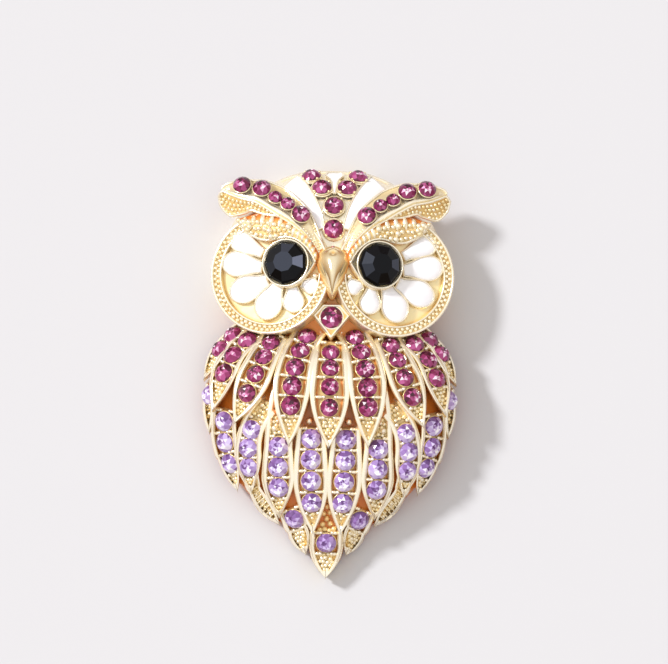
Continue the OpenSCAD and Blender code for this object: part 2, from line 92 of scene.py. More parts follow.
def ramp_of(tree, source, stops):
    """A colour ramp through (place, hex) stops."""
    ramp = add(tree, "ShaderNodeValToRGB", {"Fac": source})
    points = ramp.color_ramp.elements
    while len(points) < len(stops):
        points.new(0.5)
    for point, (place, code) in zip(points, stops):
        point.position = place
        point.color = colour(code)
    return ramp.outputs["Color"]


def bare_finish(name):
    """A new material and its emptied node tree."""
    finish = bpy.data.materials.new(name)
    finish.use_nodes = True
    finish.node_tree.nodes.clear()
    return finish, finish.node_tree


def gilding(name, stops, rough, ripple_mm, ripple, metal=0.75):
    """Plated metal: its colour and its share of plain metal go by an attribute of painted light, from painted
    orange shade in recesses to a painted near-white highlight on edges, with noise of a tenth either way; the same
    noise varies roughness by 0.3 of it and ripples the surface."""
    finish, tree = bare_finish(name)
    painted_light = add(tree, "ShaderNodeAttribute", attribute_name="painted_light").outputs["Fac"]
    place = add(tree, "ShaderNodeTexCoord").outputs["Object"]
    noise = add(tree, "ShaderNodeTexNoise", {"Vector": place}, Scale=1 / (ripple_mm * MM), Detail=3.0)
    uneven = add(tree, "ShaderNodeMath", {0: noise.outputs["Fac"]}, operation="MULTIPLY_ADD")
    uneven.inputs[1].default_value = 0.2
    uneven.inputs[2].default_value = -0.1
    level = add(tree, "ShaderNodeMath", {0: painted_light, 1: uneven.outputs[0]}, operation="ADD", use_clamp=True)
    bump = add(tree, "ShaderNodeBump", {"Height": noise.outputs["Fac"]}, Strength=ripple, Distance=0.05 * MM)
    polish = add(tree, "ShaderNodeMapRange", {"Value": noise.outputs["Fac"]},
                 To_Min=rough * 0.7, To_Max=rough * 1.3)
    plate = add(tree, "ShaderNodeMapRange", {"Value": level.outputs[0]}, From_Min=0.25, To_Max=metal)
    gold = add(tree, "ShaderNodeBsdfPrincipled", {
        "Base Color": ramp_of(tree, level.outputs[0], stops), "Normal": bump.outputs["Normal"],
        "Roughness": polish.outputs["Result"], "Metallic": plate.outputs["Result"]})
    add(tree, "ShaderNodeOutputMaterial", {"Surface": gold.outputs["BSDF"]})
    return finish


# Pale gold plate over polished zinc: its edges and beads get a painted near-white highlight, and its recesses,
# which mirror only gold, get a painted orange glow and shade. The ripple of 1.6 mm is the hand polish.
pale_gilt = gilding("polished_pale_gilding", [
    (0.0, "#C4581C"), (0.2, "#E6903C"), (0.45, "#F1CC86"), (0.7, "#F9E6B2"), (1.0, "#FFF6E0")], 0.22, 1.6, 0.3)


def smooth_column(table, at, column):
    """A table's column at a place: a cubic through the rows on each side, with slopes from their neighbours."""
    t, v = table[:, 0], table[:, column]
    slope = np.empty(len(t))
    slope[1:-1] = (v[2:] - v[:-2]) / (t[2:] - t[:-2])
    slope[0], slope[-1] = (v[1] - v[0]) / (t[1] - t[0]), (v[-1] - v[-2]) / (t[-1] - t[-2])
    i = np.clip(np.searchsorted(t, at, side="right") - 1, 0, len(t) - 2)
    step = t[i + 1] - t[i]
    u = (at - t[i]) / step
    return ((2 * u ** 3 - 3 * u ** 2 + 1) * v[i] + (u ** 3 - 2 * u ** 2 + u) * step * slope[i]
            + (3 * u ** 2 - 2 * u ** 3) * v[i + 1] + (u ** 3 - u ** 2) * step * slope[i + 1])


def dome_z(table, high, x, y, up):
    """Nested domes: (height + up) (0.3 + 0.7 root of 1 - a to the power 2.4), a = |x| / (half width + up)."""
    wide = np.maximum(smooth_column(table, y / half_l, 1) * half_w + up, 0.01)
    a = np.minimum(np.abs(x) / wide, 1)
    arch = dome_edge + (1 - dome_edge) * np.sqrt(1 - a ** dome_power)
    return (smooth_column(table, y / half_l, 2) * high + up) * arch


def lofted(rings):
    """A skin through rings of as many points: quads between them, and a fan from each end ring to its middle."""
    n, m, _ = rings.shape
    i, j = np.arange(n - 1)[:, None] * m, np.arange(m)[None, :]
    k = (j + 1) % m
    quads = np.stack([i + j, i + k, i + m + k, i + m + j], -1).reshape(-1, 4)
    j, k, last = j[0], k[0], (n - 1) * m
    fans = np.concatenate([
        np.stack([np.full(m, n * m), k, j], -1), np.stack([np.full(m, n * m + 1), last + j, last + k], -1)])
    points = np.concatenate([rings.reshape(-1, 3), rings[[0, -1]].mean(1)])
    return points, [quads, fans]


def toned(rings, tones, ends):
    """A lofted part with its painted light: a value for each point, ring or column of points, and one for each
    middle.
    """
    return (*lofted(rings), np.concatenate([np.broadcast_to(tones, rings.shape[:2]).ravel(), ends]))


def outwards(points, faces):
    """Turns a closed skin's faces round where its volume, the sum of a . (b x c) / 6, comes out below zero."""
    volume = 0.0
    for f in faces:
        for k in range(2, f.shape[1]):
            a, b, c = points[f[:, 0]], points[f[:, k - 1]], points[f[:, k]]
            volume += np.einsum("ij,ij->", a, np.cross(b, c))
    return [f[:, ::-1] for f in faces] if volume < 0 else faces


def add_piece(name, parts, finish, stands_for=(), crease=0.6, per_face=None):
    """Joins parts, each of points in mm, faces and a painted light value from shade to highlight, to one mesh in
    metres that rides with the casting.
    """
    points = np.concatenate([p for p, _, _ in parts]) * MM
    start, counts, loops = 0, [], []
    for p, faces, _ in parts:
        for f in outwards(p, faces):
            loops.append((f + start).ravel())
            counts.append(np.full(len(f), f.shape[1]))
        start += len(p)
    loops, counts = np.concatenate(loops), np.concatenate(counts)
    mesh = bpy.data.meshes.new(name)
    mesh.vertices.add(len(points))
    mesh.vertices.foreach_set("co", points.ravel())
    mesh.loops.add(len(loops))
    mesh.loops.foreach_set("vertex_index", loops.astype(np.int32))
    mesh.polygons.add(len(counts))
    mesh.polygons.foreach_set("loop_start", (np.cumsum(counts) - counts).astype(np.int32))
    mesh.polygons.foreach_set("loop_total", counts.astype(np.int32))
    mesh.update(calc_edges=True)
    if per_face is None:
        painted_light = mesh.attributes.new("painted_light", "FLOAT", "POINT")
        painted_light.data.foreach_set("value", np.concatenate(
            [np.broadcast_to(r, len(p)) for p, _, r in parts]).astype(np.float32))
        mesh.polygons.foreach_set("use_smooth", np.ones(len(counts), bool))
        mesh.set_sharp_from_angle(angle=crease)
    else:
        tone = mesh.attributes.new("tone", "FLOAT", "FACE")
        tone.data.foreach_set("value", per_face.astype(np.float32))
        mesh.polygons.foreach_set("use_smooth", np.zeros(len(counts), bool))
    mesh.validate()
    mesh.materials.append(finish)
    piece = bpy.data.objects.new(name, mesh)
    bpy.context.collection.objects.link(piece)
    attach(piece, "root")
    if stands_for:
        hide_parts(*stands_for)


def cast_piece(name, parts, crease=0.6):
    """A piece of the one gilded casting."""
    add_piece(name, parts, pale_gilt, ["owl_casting"], crease)


def clear_of_hollow(points, table, high, up, y0, y1):
    """Lifts points that lie in a dome's hollow, between two places along it, to 0.05 mm over its surface."""
    x, y, z = np.moveaxis(points, -1, 0)
    inside = (y > y0) & (y < y1) & (np.abs(x) < smooth_column(table, y / half_l, 1) * half_w + up)
    over = dome_z(table, high, x, y, up) + 0.05
    return np.stack([x, y, np.where(inside & (z < over), over, z)], -1)


def dome_shell(table, high, up, y0, y1, inside):
    """A dome with its hollow: at each place along it a ring runs over the outside and back along the inside, and
    outside the hollow's two ends the inside is flat on the back. Its painted light rises by 0.1 with the height, so
    lower parts get more painted shade."""
    ys = np.unique(np.concatenate([np.linspace(y0, y1, 70), inside, np.array(inside) + 0.02]))
    ys = ys[ys <= y1]
    arch = np.sin(np.linspace(-np.pi / 2, np.pi / 2, 61))
    rings = []
    for y in ys:
        wide = smooth_column(table, y / half_l, 1) * half_w + up
        out_x, in_x = arch * wide, (arch * (wide - wall))[::-1]
        out_z, in_z = dome_z(table, high, out_x, y, up), dome_z(table, high, in_x, y, up - wall)
        if not inside[0] < y <= inside[1] + 0.001:
            in_z = in_z * 0
        x = np.concatenate([[-wide], out_x, [wide, wide - wall], in_x, [wall - wide]])
        z = np.concatenate([[0], out_z, [0, 0], in_z, [0]])
        rings.append(np.stack([x, np.full(len(x), y), z], -1))
    rings = np.array(rings)
    return rings, 0.1 + 0.1 * rings[..., 2] / high


tail_end, neck_start, neck_end = -0.82 * half_l, 0.17 * half_l, 0.28 * half_l
hollow_of_body = (BODY, chest_h, -shell_drop - wall, tail_end + wall, neck_end)
hollow_of_head = (HEAD, head_h, -wall, neck_start + wall, half_l - wall)
shells = []
# A painted sheen is added to the painted light of the head's shell above the chin; the body's shell and the neck
# beside the chin keep low values: painted shade, as the darker ground between feathers
for table, high, up, y0, y1, inside, other, gloss in (
        (BODY, chest_h, -shell_drop, tail_end, neck_end, hollow_of_body[3:], hollow_of_head, 0.0),
        (HEAD, head_h, 0.0, neck_start, half_l, hollow_of_head[3:], hollow_of_body, 0.8)):
    rings, painted_light = dome_shell(table, high, up, y0, y1, inside)
    painted_light = painted_light + gloss * np.clip((rings[..., 1] / half_l - 0.31) / 0.14, 0, 1)
    shells.append(toned(clear_of_hollow(rings, *other), painted_light, [0.3, 0.3]))
cast_piece("casting_shell", shells)


# The feathers: leaf-shaped dishes cast on the body in three layers, each with a broad polished rim round a channel
# for its stones, painted orange as shade. The breast's lie over the tail's, and two more rows show under those.
# x and y, the first stone's place, the tip, bow and half width are shares of the brooch's half sizes. The last
# stone and the widest place are shares of the way to the tip, and a growth over 1 spreads the stones that way.
Feather = namedtuple("Feather", "layer x y tip_x tip_y bow half stones last growth widest")
FEATHERS = [Feather(*row) for row in [
    [2, 0.780, 0.175, 0.995, -0.053, 0.022, 0.105, 2, 0.35, 1.00, 0.42],
    [2, 0.660, 0.143, 0.917, -0.212, 0.050, 0.120, 3, 0.51, 1.02, 0.42],
    [2, 0.471, 0.127, 0.740, -0.273, 0.004, 0.127, 4, 0.64, 1.12, 0.42],
    [2, 0.187, 0.164, 0.309, -0.381, 0.048, 0.137, 5, 0.65, 1.08, 0.42],
    [1, 0.952, -0.124, 0.940, -0.310, 0.006, 0.060, 1, 0.00, 1.00, 0.30],
    [1, 0.825, -0.258, 0.706, -0.588, 0.025, 0.135, 3, 0.60, 1.01, 0.42],
    [1, 0.604, -0.300, 0.594, -0.603, 0.027, 0.104, 3, 0.59, 1.02, 0.42],
    [1, 0.390, -0.381, 0.374, -0.719, 0.004, 0.118, 3, 0.57, 1.00, 0.42],
    [1, 0.136, -0.341, 0.107, -0.791, 0.006, 0.126, 4, 0.67, 1.01, 0.42],
    [0, 0.256, -0.718, 0.157, -0.886, 0.000, 0.118, 1, 0.00, 1.00, 0.35],
    [0, 0.595, -0.540, 0.371, -0.742, 0.020, 0.082, 0, 0.00, 1.00, 0.42]]]
CENTRE = [Feather(*row) for row in [
    [2, 0.000, 0.081, 0.000, -0.388, 0.000, 0.142, 4, 0.585, 1.12, 0.42],
    [0, 0.000, -0.830, 0.000, -1.000, 0.000, 0.120, 1, 0.00, 1.00, 0.05]]]
layer_step, rim_w, rim_h, root_len = 0.9, 0.44, 0.75, 2.0
stone_d, stone_h, seat_gap = 2.4, 1.1, 0.12
LAYER_UP = {2: layer_step, 1: 0.0, 0: -0.55 * layer_step}
# Tail feathers, by their x, whose roots show between the breast's, and how far they run on past their first stone
LONG_ROOTS = {0.390: 8.0, 0.604: 3.6}


def body_z(plan, up):
    """Height of the body's dome, grown by up, over plan points."""
    return dome_z(BODY, chest_h, plan[..., 0], plan[..., 1], up)


def lifted(plan, height):
    """Plan points with a height added as z."""
    return np.concatenate([plan, np.broadcast_to(height, plan.shape[:-1])[..., None]], -1)


def unit(vectors):
    """Vectors scaled to length one."""
    return vectors / np.linalg.norm(vectors, axis=-1, keepdims=True)


def leftwards(d):
    """Plan directions turned a quarter to the left."""
    return np.stack([-d[..., 1], d[..., 0]], -1)


def feather_length(f):
    """From first stone to tip, in mm."""
    return np.hypot((f.tip_x - f.x) * half_w, (f.tip_y - f.y) * half_l)


def on_axis(f, t):
    """A feather's axis in plan: straight from first stone to tip, bowed sideways by 4t(1 - t)(1.6 - 1.2t)."""
    a, b = np.array([f.x * half_w, f.y * half_l]), np.array([f.tip_x * half_w, f.tip_y * half_l])
    t = np.asarray(t, float)[..., None]
    return a + (b - a) * t + leftwards(unit(b - a)) * f.bow * half_w * 4 * t * (1 - t) * (1.6 - 1.2 * t)


def leaf_half(f, t):
    """A feather's half width: it grows a little to its widest place, then falls as a parabola to its tip."""
    t0 = f.widest
    fall = np.maximum(0.008, 1 - ((t - t0) / (1 - t0)) ** 2)
    return f.half * half_w * np.where(t < t0, 1 - 0.4 * (t0 - np.maximum(t, 0)), fall)


def on_feather(f, t, aside, height):
    """Points over a feather's floor: aside is measured along the dome's slope, height from the floor."""
    up = LAYER_UP[f.layer]
    c = on_axis(f, t)
    s = leftwards(unit(on_axis(f, np.asarray(t) + 0.02) - on_axis(f, np.asarray(t) - 0.02)))
    rise = (body_z(c + s, up) - body_z(c - s, up)) / 2
    p = c + s * np.asarray(aside / np.sqrt(1 + rise ** 2))[..., None]
    return lifted(p, body_z(p, up + height))


def feather_dish(f):
    """At each of 64 stations a ring goes up the outside, over the broad rim, down its inner side, over the floor
    and back up the other side. A place q from 0 to 1 lies across the rim, from the feather's outline t to the
    floor's outline u. The root's end dives below the ground by 1.7 times the square of what is left of 0.9 mm."""
    long = feather_length(f)
    root, draw = -LONG_ROOTS.get(f.x, root_len) / long, 1 - 2.2 * rim_w / long
    share = np.linspace(0, 1, 64) ** 0.9
    q = np.array([-0.62, -0.56, -0.5, -0.3, 0.2, 0.75, 1.0, 1.15, 1.35, 1.4])
    h = rim_h + np.array([-1.75, -0.7, -0.16, -0.02, 0.05, 0, -0.12, -0.35, -0.6, -0.72])
    # Painted light across the ring: shade low on the outside, a highlight over the rim's top, shade at its inner
    # foot
    tone = np.array([0.05, 0.3, 0.85, 1, 1, 1, 0.9, 0.6, 0.3, 0.15])
    floor_share = np.array([0.8, 0.4])
    q_all = np.concatenate([q, np.full(5, q[-1]), q[::-1]])
    sign = np.concatenate([np.ones(len(q)), floor_share, [0], -floor_share[::-1], -np.ones(len(q))])
    height = np.concatenate([h, np.zeros(5), h[::-1]])
    t, u = root + (1 - root) * share, root + (draw - root) * share
    # The floor gets painted orange shade between the stones and is pale where none are set
    bare = (u > f.last + 0.6 * stone_d / long) | (u < -0.6 * stone_d / long)
    painted_light = np.concatenate([tone, [0.4, 0.6, 0.6, 0.6, 0.4], tone[::-1]])
    painted_light = np.maximum(painted_light, 0.6 * bare[:, None])
    outer = leaf_half(f, t)
    inner = np.maximum(0.02, leaf_half(f, u) - rim_w)
    inner[-1] = 0.02
    down = np.clip(q_all, 0, 1)
    at = t[:, None] * (1 - down) + u[:, None] * down
    aside = np.maximum(outer[:, None] * (1 - q_all) + inner[:, None] * q_all, 0.02) * sign
    sunk = 1.7 * np.clip(1 - (t - root) * long / 0.9, 0, 1)[:, None] ** 2
    return toned(on_feather(f, at, aside, height - sunk), painted_light, [0.3, 1.0])


def mirrored(part):
    """The same part on the other side of the centre line."""
    return (part[0] * [-1, 1, 1], *part[1:])


def pair(part):
    """A part and its mirror image."""
    return [part, mirrored(part)]


def both(parts):
    """Each part and its mirror image."""
    return [q for p in parts for q in pair(p)]


dishes = {layer: both(feather_dish(f) for f in FEATHERS if f.layer == layer)
          + [feather_dish(f) for f in CENTRE if f.layer == layer] for layer in (2, 1, 0)}
cast_piece("breast_feathers", dishes[2])
cast_piece("tail_feathers", dishes[1] + dishes[0])


# The set stones of breast and tail: round cut glass with a foiled back, glued into the channels in rows.
# The breast's are fuchsia and the tail's are lilac. Table, eight stars, eight kites and the girdle facets show.
rng = np.random.default_rng(7)
# They fill out their seats' gaps a little, and the three lowest are deeper in tone
stone_grow, deep_tone = 1.03, 0.68


def cut_glass(name, stops, rough, coat, gleam=0.5):
    """Foil-backed cut glass: each facet's tone is painted, the foil's reflections and flashes, under a clear, hard
    gloss.
    """
    finish, tree = bare_finish(name)
    tone = add(tree, "ShaderNodeAttribute", attribute_name="tone").outputs["Fac"]
    glass = add(tree, "ShaderNodeBsdfPrincipled", {"Base Color": ramp_of(tree, tone, stops)},
                Metallic=0.15, Roughness=rough, IOR=1.5, Specular_IOR_Level=gleam,
                Coat_Weight=coat, Coat_Roughness=0.03, Coat_IOR=1.5)
    add(tree, "ShaderNodeOutputMaterial", {"Surface": glass.outputs["BSDF"]})
    return finish


# The glass's pink with painted reflections: deep wine on the facets that look down into the stone, hot pink in
# most, and a painted near-white flash of the foil
fuchsia_glass = cut_glass("fuchsia_foiled_cut_glass", [
    (0.0, "#2A0418"), (0.25, "#5E1036"), (0.5, "#90285F"), (0.75, "#B9558F"), (0.9, "#D99AC2"),
    (1.0, "#F4E4F0")], 0.2, 0.3)
# The same cut in a pale glass, with painted violet depths, a lilac body and painted white flashes, so it sparkles
# more softly
lilac_glass = cut_glass("lilac_foiled_cut_glass", [
    (0.0, "#522A66"), (0.25, "#8E68AC"), (0.45, "#BAA0DA"), (0.65, "#D9CAF0"), (0.8, "#EFE8FA"),
    (1.0, "#FFFFFF")], 0.2, 0.3)
# The table as a share of a stone's width, the share of its height below the girdle, and the sides of its table
table_share, gem_low, sides = 0.52, 0.42, 8


def around(count, turn=0.0):
    """Equal steps of angle round a circle, from a turn given in steps."""
    return (np.arange(count) + turn) * 2 * np.pi / count


def circle(radius, height, count, turn=0.0):
    """Points at equal steps round a level circle."""
    a = around(count, turn)
    return np.stack([radius * np.cos(a), radius * np.sin(a), np.full(count, height)], -1)


def stone_template():
    """A unit cut stone: culet, girdle, a ring of kite corners and the table, whose middle shows the back facets."""
    points = np.concatenate([
        circle(0.17, -gem_low, sides), circle(0.5, -0.04, 2 * sides), circle(0.5, 0.06, 2 * sides),
        circle(0.41, 0.30, sides, 0.5), circle(0.5 * table_share, 0.58, sides), circle(0.13, 0.58, sides, 0.5),
        [[0, 0, 0.58]], [[0, 0, -gem_low]]])
    culet, low, high = 0, sides, 3 * sides
    kite, table, star, middle, foot = 5 * sides, 6 * sides, 7 * sides, 8 * sides, 8 * sides + 1
    k = np.arange(sides)
    n, g = (k + 1) % sides, 2 * k
    g1, g2 = (g + 1) % (2 * sides), (g + 2) % (2 * sides)
    tris = [
        [np.full(sides, foot), culet + n, culet + k], [culet + k, low + g1, low + g],
        [culet + k, culet + n, low + g1], [culet + n, low + g2, low + g1],
        [kite + k, high + g, high + g1], [kite + k, high + g1, high + g2],
        [table + k, kite + k, table + n], [star + k, table + k, table + n], [star + k, table + n, star + n],
        [np.full(sides, middle), star + k, star + n]]
    tris = np.concatenate([np.stack(t, -1) for t in tris])
    m = np.arange(2 * sides)
    quads = np.stack([low + m, low + (m + 1) % (2 * sides), high + (m + 1) % (2 * sides), high + m], -1)
    kites = np.stack([table + k, kite + (k - 1) % sides, high + g, kite + k], -1)
    return points, [tris, np.concatenate([quads, kites])]


def painted_facet_light(spins):
    """A painted reflection for each facet of each stone: a base plus a swing by the cosine of its angle from the
    stone's dark side, as if the foil mirrored the room, with one table wedge painted dark, one painted bright, and
    a little chance in each."""
    k = np.arange(sides)
    step = 2 * np.pi / sides
    rows = []
    for spin in spins:
        dark = 1.9 + rng.uniform(-0.8, 0.8)
        def lit(turn, base, swing, chance):
            """A tone for each of a ring's facets, which stand at a turn from the first corner."""
            away = 0.5 - 0.5 * np.cos((k + turn) * step + spin - dark)
            return base + swing * (away - 0.5) + chance * (rng.random(sides) - 0.5)
        crown = [lit(0.25, 0.34, 0.25, 0.60), lit(0.75, 0.34, 0.25, 0.60), lit(0.5, 0.52, 0.30, 0.80),
                 lit(0.5, 0.50, 0.40, 0.70), lit(1.0, 0.52, 0.40, 0.75), lit(1.0, 0.50, 0.60, 0.60)]
        wedge = np.argmin(np.cos((k + 0.5) * step + spin - dark))
        other = np.argmax(np.cos((k + 0.5) * step + spin - dark))
        crown[3][wedge], crown[4][wedge] = 0.97, 0.85
        crown[4][other], crown[5][other], crown[3][other] = 0.05, 0.08, 0.12
        crown[rng.integers(2, 5)][rng.integers(sides)] = 1.0
        girdle, kites = np.full(2 * sides, 0.2), lit(0.0, 0.40, 0.40, 0.35)
        rows.append(np.concatenate([np.full(4 * sides, 0.2), *crown, girdle, kites]))
    return np.clip(np.concatenate(rows), 0, 1)


def across_and_ahead(out):
    """Two unit directions square to a stone's axis and to each other, the first square to the brooch's length."""
    across = unit(np.cross([0, 1, 0], out))
    return across, np.cross(out, across)


def set_stones(centres, outs, widths, heights):
    """Copies of the unit stone, each turned by chance and with its table facing outwards; with their turns."""
    points, faces = stone_template()
    across, ahead = across_and_ahead(outs)
    spins = rng.random(len(centres)) * 2 * np.pi / sides
    parts = []
    for c, a, b, o, d, h, spin in zip(centres, across, ahead, outs, widths, heights, spins):
        x = points[:, 0] * np.cos(spin) - points[:, 1] * np.sin(spin)
        y = points[:, 0] * np.sin(spin) + points[:, 1] * np.cos(spin)
        parts.append((c + d * (x[:, None] * a + y[:, None] * b) + h * points[:, 2:] * o, faces, 0))
    return parts, spins


def closed_skin(rings):
    """A skin through rings of as many points, the last joined to the first."""
    n, m, _ = rings.shape
    i, j = np.arange(n)[:, None] * m, np.arange(m)[None, :]
    i2, k = (i + m) % (n * m), (j + 1) % m
    return rings.reshape(-1, 3), [np.stack([i + j, i2 + j, i2 + k, i + k], -1).reshape(-1, 4)]


def collar(at, out, radius, tube, height, steps=10, turns=40, tone=1.0):
    """A ring of wire round a stone's axis, at a height along it: a circle turned round a circle."""
    across, ahead = across_and_ahead(out)
    a, b = around(turns)[:, None], around(steps)[:, None]
    spoke = np.cos(a) * across + np.sin(a) * ahead
    rings = at + out * height + spoke[:, None] * (radius + tube * np.cos(b)) + out * (tube * np.sin(b))
    return (*closed_skin(rings), tone)


def facing(plan, up):
    """Outward direction of the body's dome over plan points, from its heights 0.05 mm to each side."""
    d = 0.05
    x, y = (body_z(plan - step, up) - body_z(plan + step, up) for step in (np.array([d, 0]), np.array([0, d])))
    return unit(np.stack([x, y, np.full(len(plan), 2 * d)], -1))


def stone_row(f):
    """Middles of a feather's stones, their axes, the width that their pitch leaves, and their places t: stone i of
    n lies at the last one's share times i / (n - 1) to the power growth."""
    n = f.stones
    t = f.last * (np.arange(n) / (n - 1)) ** f.growth if n > 1 else np.zeros(n)
    up = LAYER_UP[f.layer] + seat_gap + gem_low * stone_h
    p = on_axis(f, t)
    at = lifted(p, body_z(p, up))
    wide = stone_d if n < 2 else min(stone_d, np.linalg.norm(np.diff(at, axis=0), axis=1).min() - 0.06)
    return at, facing(p, up), np.full(n, wide), t


def field_of_stones(name, layers, finish, node):
    """All the stones of some layers as one piece, the lowest three deeper in tone; returns the seat rings."""
    centres, outs, widths, depth = [], [], [], []
    for f in FEATHERS + CENTRE:
        if f.layer in layers and f.stones:
            at, out, wide, _ = stone_row(f)
            for side in ((1, -1) if f.x else (1,)):
                centres.append(at * [side, 1, 1])
                outs.append(out * [side, 1, 1])
                widths.append(wide * stone_grow)
                depth += [1.0 if f.layer else deep_tone] * len(wide)
    centres, outs, widths = np.concatenate(centres), np.concatenate(outs), np.concatenate(widths)
    parts, spins = set_stones(centres, outs, widths, np.full(len(widths), stone_h))
    tones = painted_facet_light(spins)
    tones = tones * np.repeat(depth, len(tones) // len(depth))
    add_piece(name, parts, finish, [node], per_face=tones)
    return [collar(c, o, w / 2 + 0.02, tube=0.07, height=-0.12, steps=6, turns=20, tone=0.55)
            for c, o, w in zip(centres, outs, widths)]


rings = field_of_stones("breast_cut_stones", (2,), fuchsia_glass, "breast_stones")
rings += field_of_stones("tail_cut_stones", (1, 0), lilac_glass, "tail_stones")
cast_piece("feather_seats", rings, crease=3.2)


# Grain and bars of the feathers: the casting's tips are pebbled with small beads, and a bar crosses from each
# rim to every gap between the stones. Single balls close some gaps between feathers. All is cast and gilded.
def beads(centres, radii, stretch=None, tone=0.72):
    """Low balls of eight by four faces, each with its own radius, or stretched along three given axes."""
    ball, faces = lofted(np.array([circle(np.cos(lat), np.sin(lat), 8) for lat in np.radians([-50, 0, 50])]))
    ball[-2:] = [[0, 0, -1], [0, 0, 1]]
    centres = np.asarray(centres, float).reshape(-1, 3)
    if stretch is None:
        local = ball * np.broadcast_to(radii, len(centres))[:, None, None]
    else:
        local = np.einsum("kj,njc->nkc", ball, stretch)
    points = (centres[:, None] + local).reshape(-1, 3)
    shift = np.arange(len(centres))[:, None, None] * len(ball)
    return points, [(f + shift).reshape(-1, f.shape[1]) for f in faces], tone


def uneven_beads(centres, radius, shares, tones):
    """Beads whose radii are chance shares of one radius and whose tones are by chance too."""
    points, faces, _ = beads(centres, radius * rng.uniform(*shares, len(centres)))
    return points, faces, np.repeat(rng.uniform(*tones, len(centres)), len(points) // len(centres))


def feather_grain(f, t0, t1):
    """Beads in staggered rows over a feather's floor between two places, uneven in place and size."""
    pitch, size = 0.52, 0.35
    long = feather_length(f)
    rows = np.arange(t0 * long, t1 * long, pitch * 0.86)
    places = []
    for i, along in enumerate(rows):
        room = leaf_half(f, along / long) - rim_w - size * 0.4
        if room > 0:
            aside = np.arange(-4.5 + 0.5 * (i % 2), 5) * pitch
            places += [(along / long, a) for a in aside[np.abs(aside) < room]]
    if not places:
        return []
    t, aside = np.array(places).T
    t = t + rng.uniform(-0.10, 0.10, len(t)) / long
    aside = aside + rng.uniform(-0.10, 0.10, len(t))
    return [uneven_beads(on_feather(f, t, aside, 0.12), size, (0.75, 1.12), (0.7, 1.0))]


# Height of the bars' middles over the feather's floor
bar_up = 0.40


def bars(f, places, thick, reach_in, tone):
    """Bars at places along a feather, from both rims inwards to a distance from its axis: beads drawn out."""
    places = np.asarray(places, float)
    room = leaf_half(f, places) - rim_w * 0.8
    parts = []
    for side in (1, -1):
        long = np.maximum(0.2, room - reach_in)
        middle = on_feather(f, places, side * (room - long / 2), bar_up)
        inner = on_feather(f, places, side * (room - long), bar_up)
        across = unit(middle - inner)
        normal = facing(middle[:, :2], LAYER_UP[f.layer] + bar_up)
        ahead = np.cross(normal, across)
        axes = np.stack([across * (long / 2 + 0.12)[:, None], ahead * thick, normal * 0.30], 1)
        parts.append(beads(middle, 1, axes, tone))
    return parts


def bar_ends(f, places, aside):
    """Balls at the bars' inner ends, which hold the stones."""
    centres = [on_feather(f, places, side * aside, bar_up + 0.05) for side in (1, -1)]
    return [beads(np.concatenate(centres), 0.29, tone=1.0)]


def stone_bars(f):
    """Bars before the first stone, at each gap between stones and past the last one, with balls at their ends."""
    t = stone_row(f)[3]
    step = (stone_d + 0.1) / feather_length(f)
    gaps = np.concatenate([[t[0] - step / 2], (t[1:] + t[:-1]) / 2, [t[-1] + step / 2]])
    return bars(f, gaps, 0.26, 0.62, 0.95) + bar_ends(f, gaps, 0.70)


# Feathers with no stone carry thin bars from rim to rim like a ladder
grain, grips = [], []
for f in FEATHERS + CENTRE:
    last = f.last if f.stones else -0.3
    long = feather_length(f)
    here = feather_grain(f, last + stone_d * 0.56 / long, 1 - 0.9 / long)
    if f.x in LONG_ROOTS:
        here += feather_grain(f, (0.5 - LONG_ROOTS[f.x]) / long, -0.62 * stone_d / long)
    cross = stone_bars(f) if f.stones else bars(f, np.arange(0.05, 0.85, 0.55 / long), 0.13, 0.0, 0.85)
    grips += both(cross) if f.x else cross
    grain += both(here) if f.x else here
# Single balls between feathers, in mm, and low grain on the ground above the tail's tip, as shares
BALLS = np.array([[6.67, -7.43, 8.1], [2.42, -6.45, 8.5]])
LOW = np.array([
    [0.0, -0.712], [0.024, -0.682], [-0.026, -0.688], [0.0, -0.654], [0.012, -0.628], [-0.032, -0.738],
    [0.028, -0.734], [-0.052, -0.766], [-0.014, -0.762], [0.022, -0.768], [0.056, -0.760]]) * [half_w, half_l]
grips += pair(beads(BALLS, 0.46, tone=1.0))
grips.append(beads(lifted(LOW, body_z(LOW, -shell_drop + 0.1)), 0.40, tone=0.6))
cast_piece("feather_grain", grain, crease=3.2)
cast_piece("stone_bars", grips, crease=3.2)


# The face discs: two round dishes that lean outwards, cast with a smooth outer wire, a milled row of beads
# and an inner wire round a sunk floor. Raised wires on the floor make the petals' cells.
disc_r, disc_z, disc_lean, disc_depth = 7.6, 7.5, np.radians(15), 4.2
disc_at = np.array([0.480 * half_w, 0.463 * half_l])
eye_at, eye_d = np.array([-0.293, 0.145]) * disc_r, 5.4
cell_h = 0.6
# Root x and y, end x and y, half width, as shares of the disc's radius, and the place of its widest
PETALS = [
    [0.143, 0.327, 0.668, 0.605, 0.160, 0.72], [0.150, 0.098, 0.800, 0.190, 0.196, 0.65],
    [0.055, -0.117, 0.655, -0.362, 0.210, 0.60], [-0.129, -0.194, 0.118, -0.735, 0.215, 0.58],
    [-0.380, -0.229, -0.420, -0.638, 0.165, 0.60], [-0.548, -0.179, -0.790, -0.250, 0.125, 0.60]]


def on_disc(points):
    """Disc places, with x outwards and z off its floor, to places on the brooch's right half."""
    x, y, z = np.moveaxis(np.asarray(points, float), -1, 0)
    c, s = np.cos(disc_lean), np.sin(disc_lean)
    return np.stack([disc_at[0] + x * c + z * s, disc_at[1] + y, disc_z - x * s + z * c], -1)


def wire(path, radius, steps=10, closed=False, flat=1.0):
    """A wire: circles across the path, from its sideways and upward directions, drawn out upwards by flat."""
    ahead = np.roll(path, -1, 0) - np.roll(path, 1, 0) if closed else np.gradient(path, axis=0)
    side = unit(np.cross(ahead, [0, 0, 1.0]))
    up = unit(np.cross(side, ahead))
    a = around(steps)[:, None]
    rings = path[:, None] + radius * (np.cos(a) * side[:, None] + flat * np.sin(a) * up[:, None])
    return (*(closed_skin(rings.swapaxes(0, 1)) if closed else lofted(rings)), 1.0)


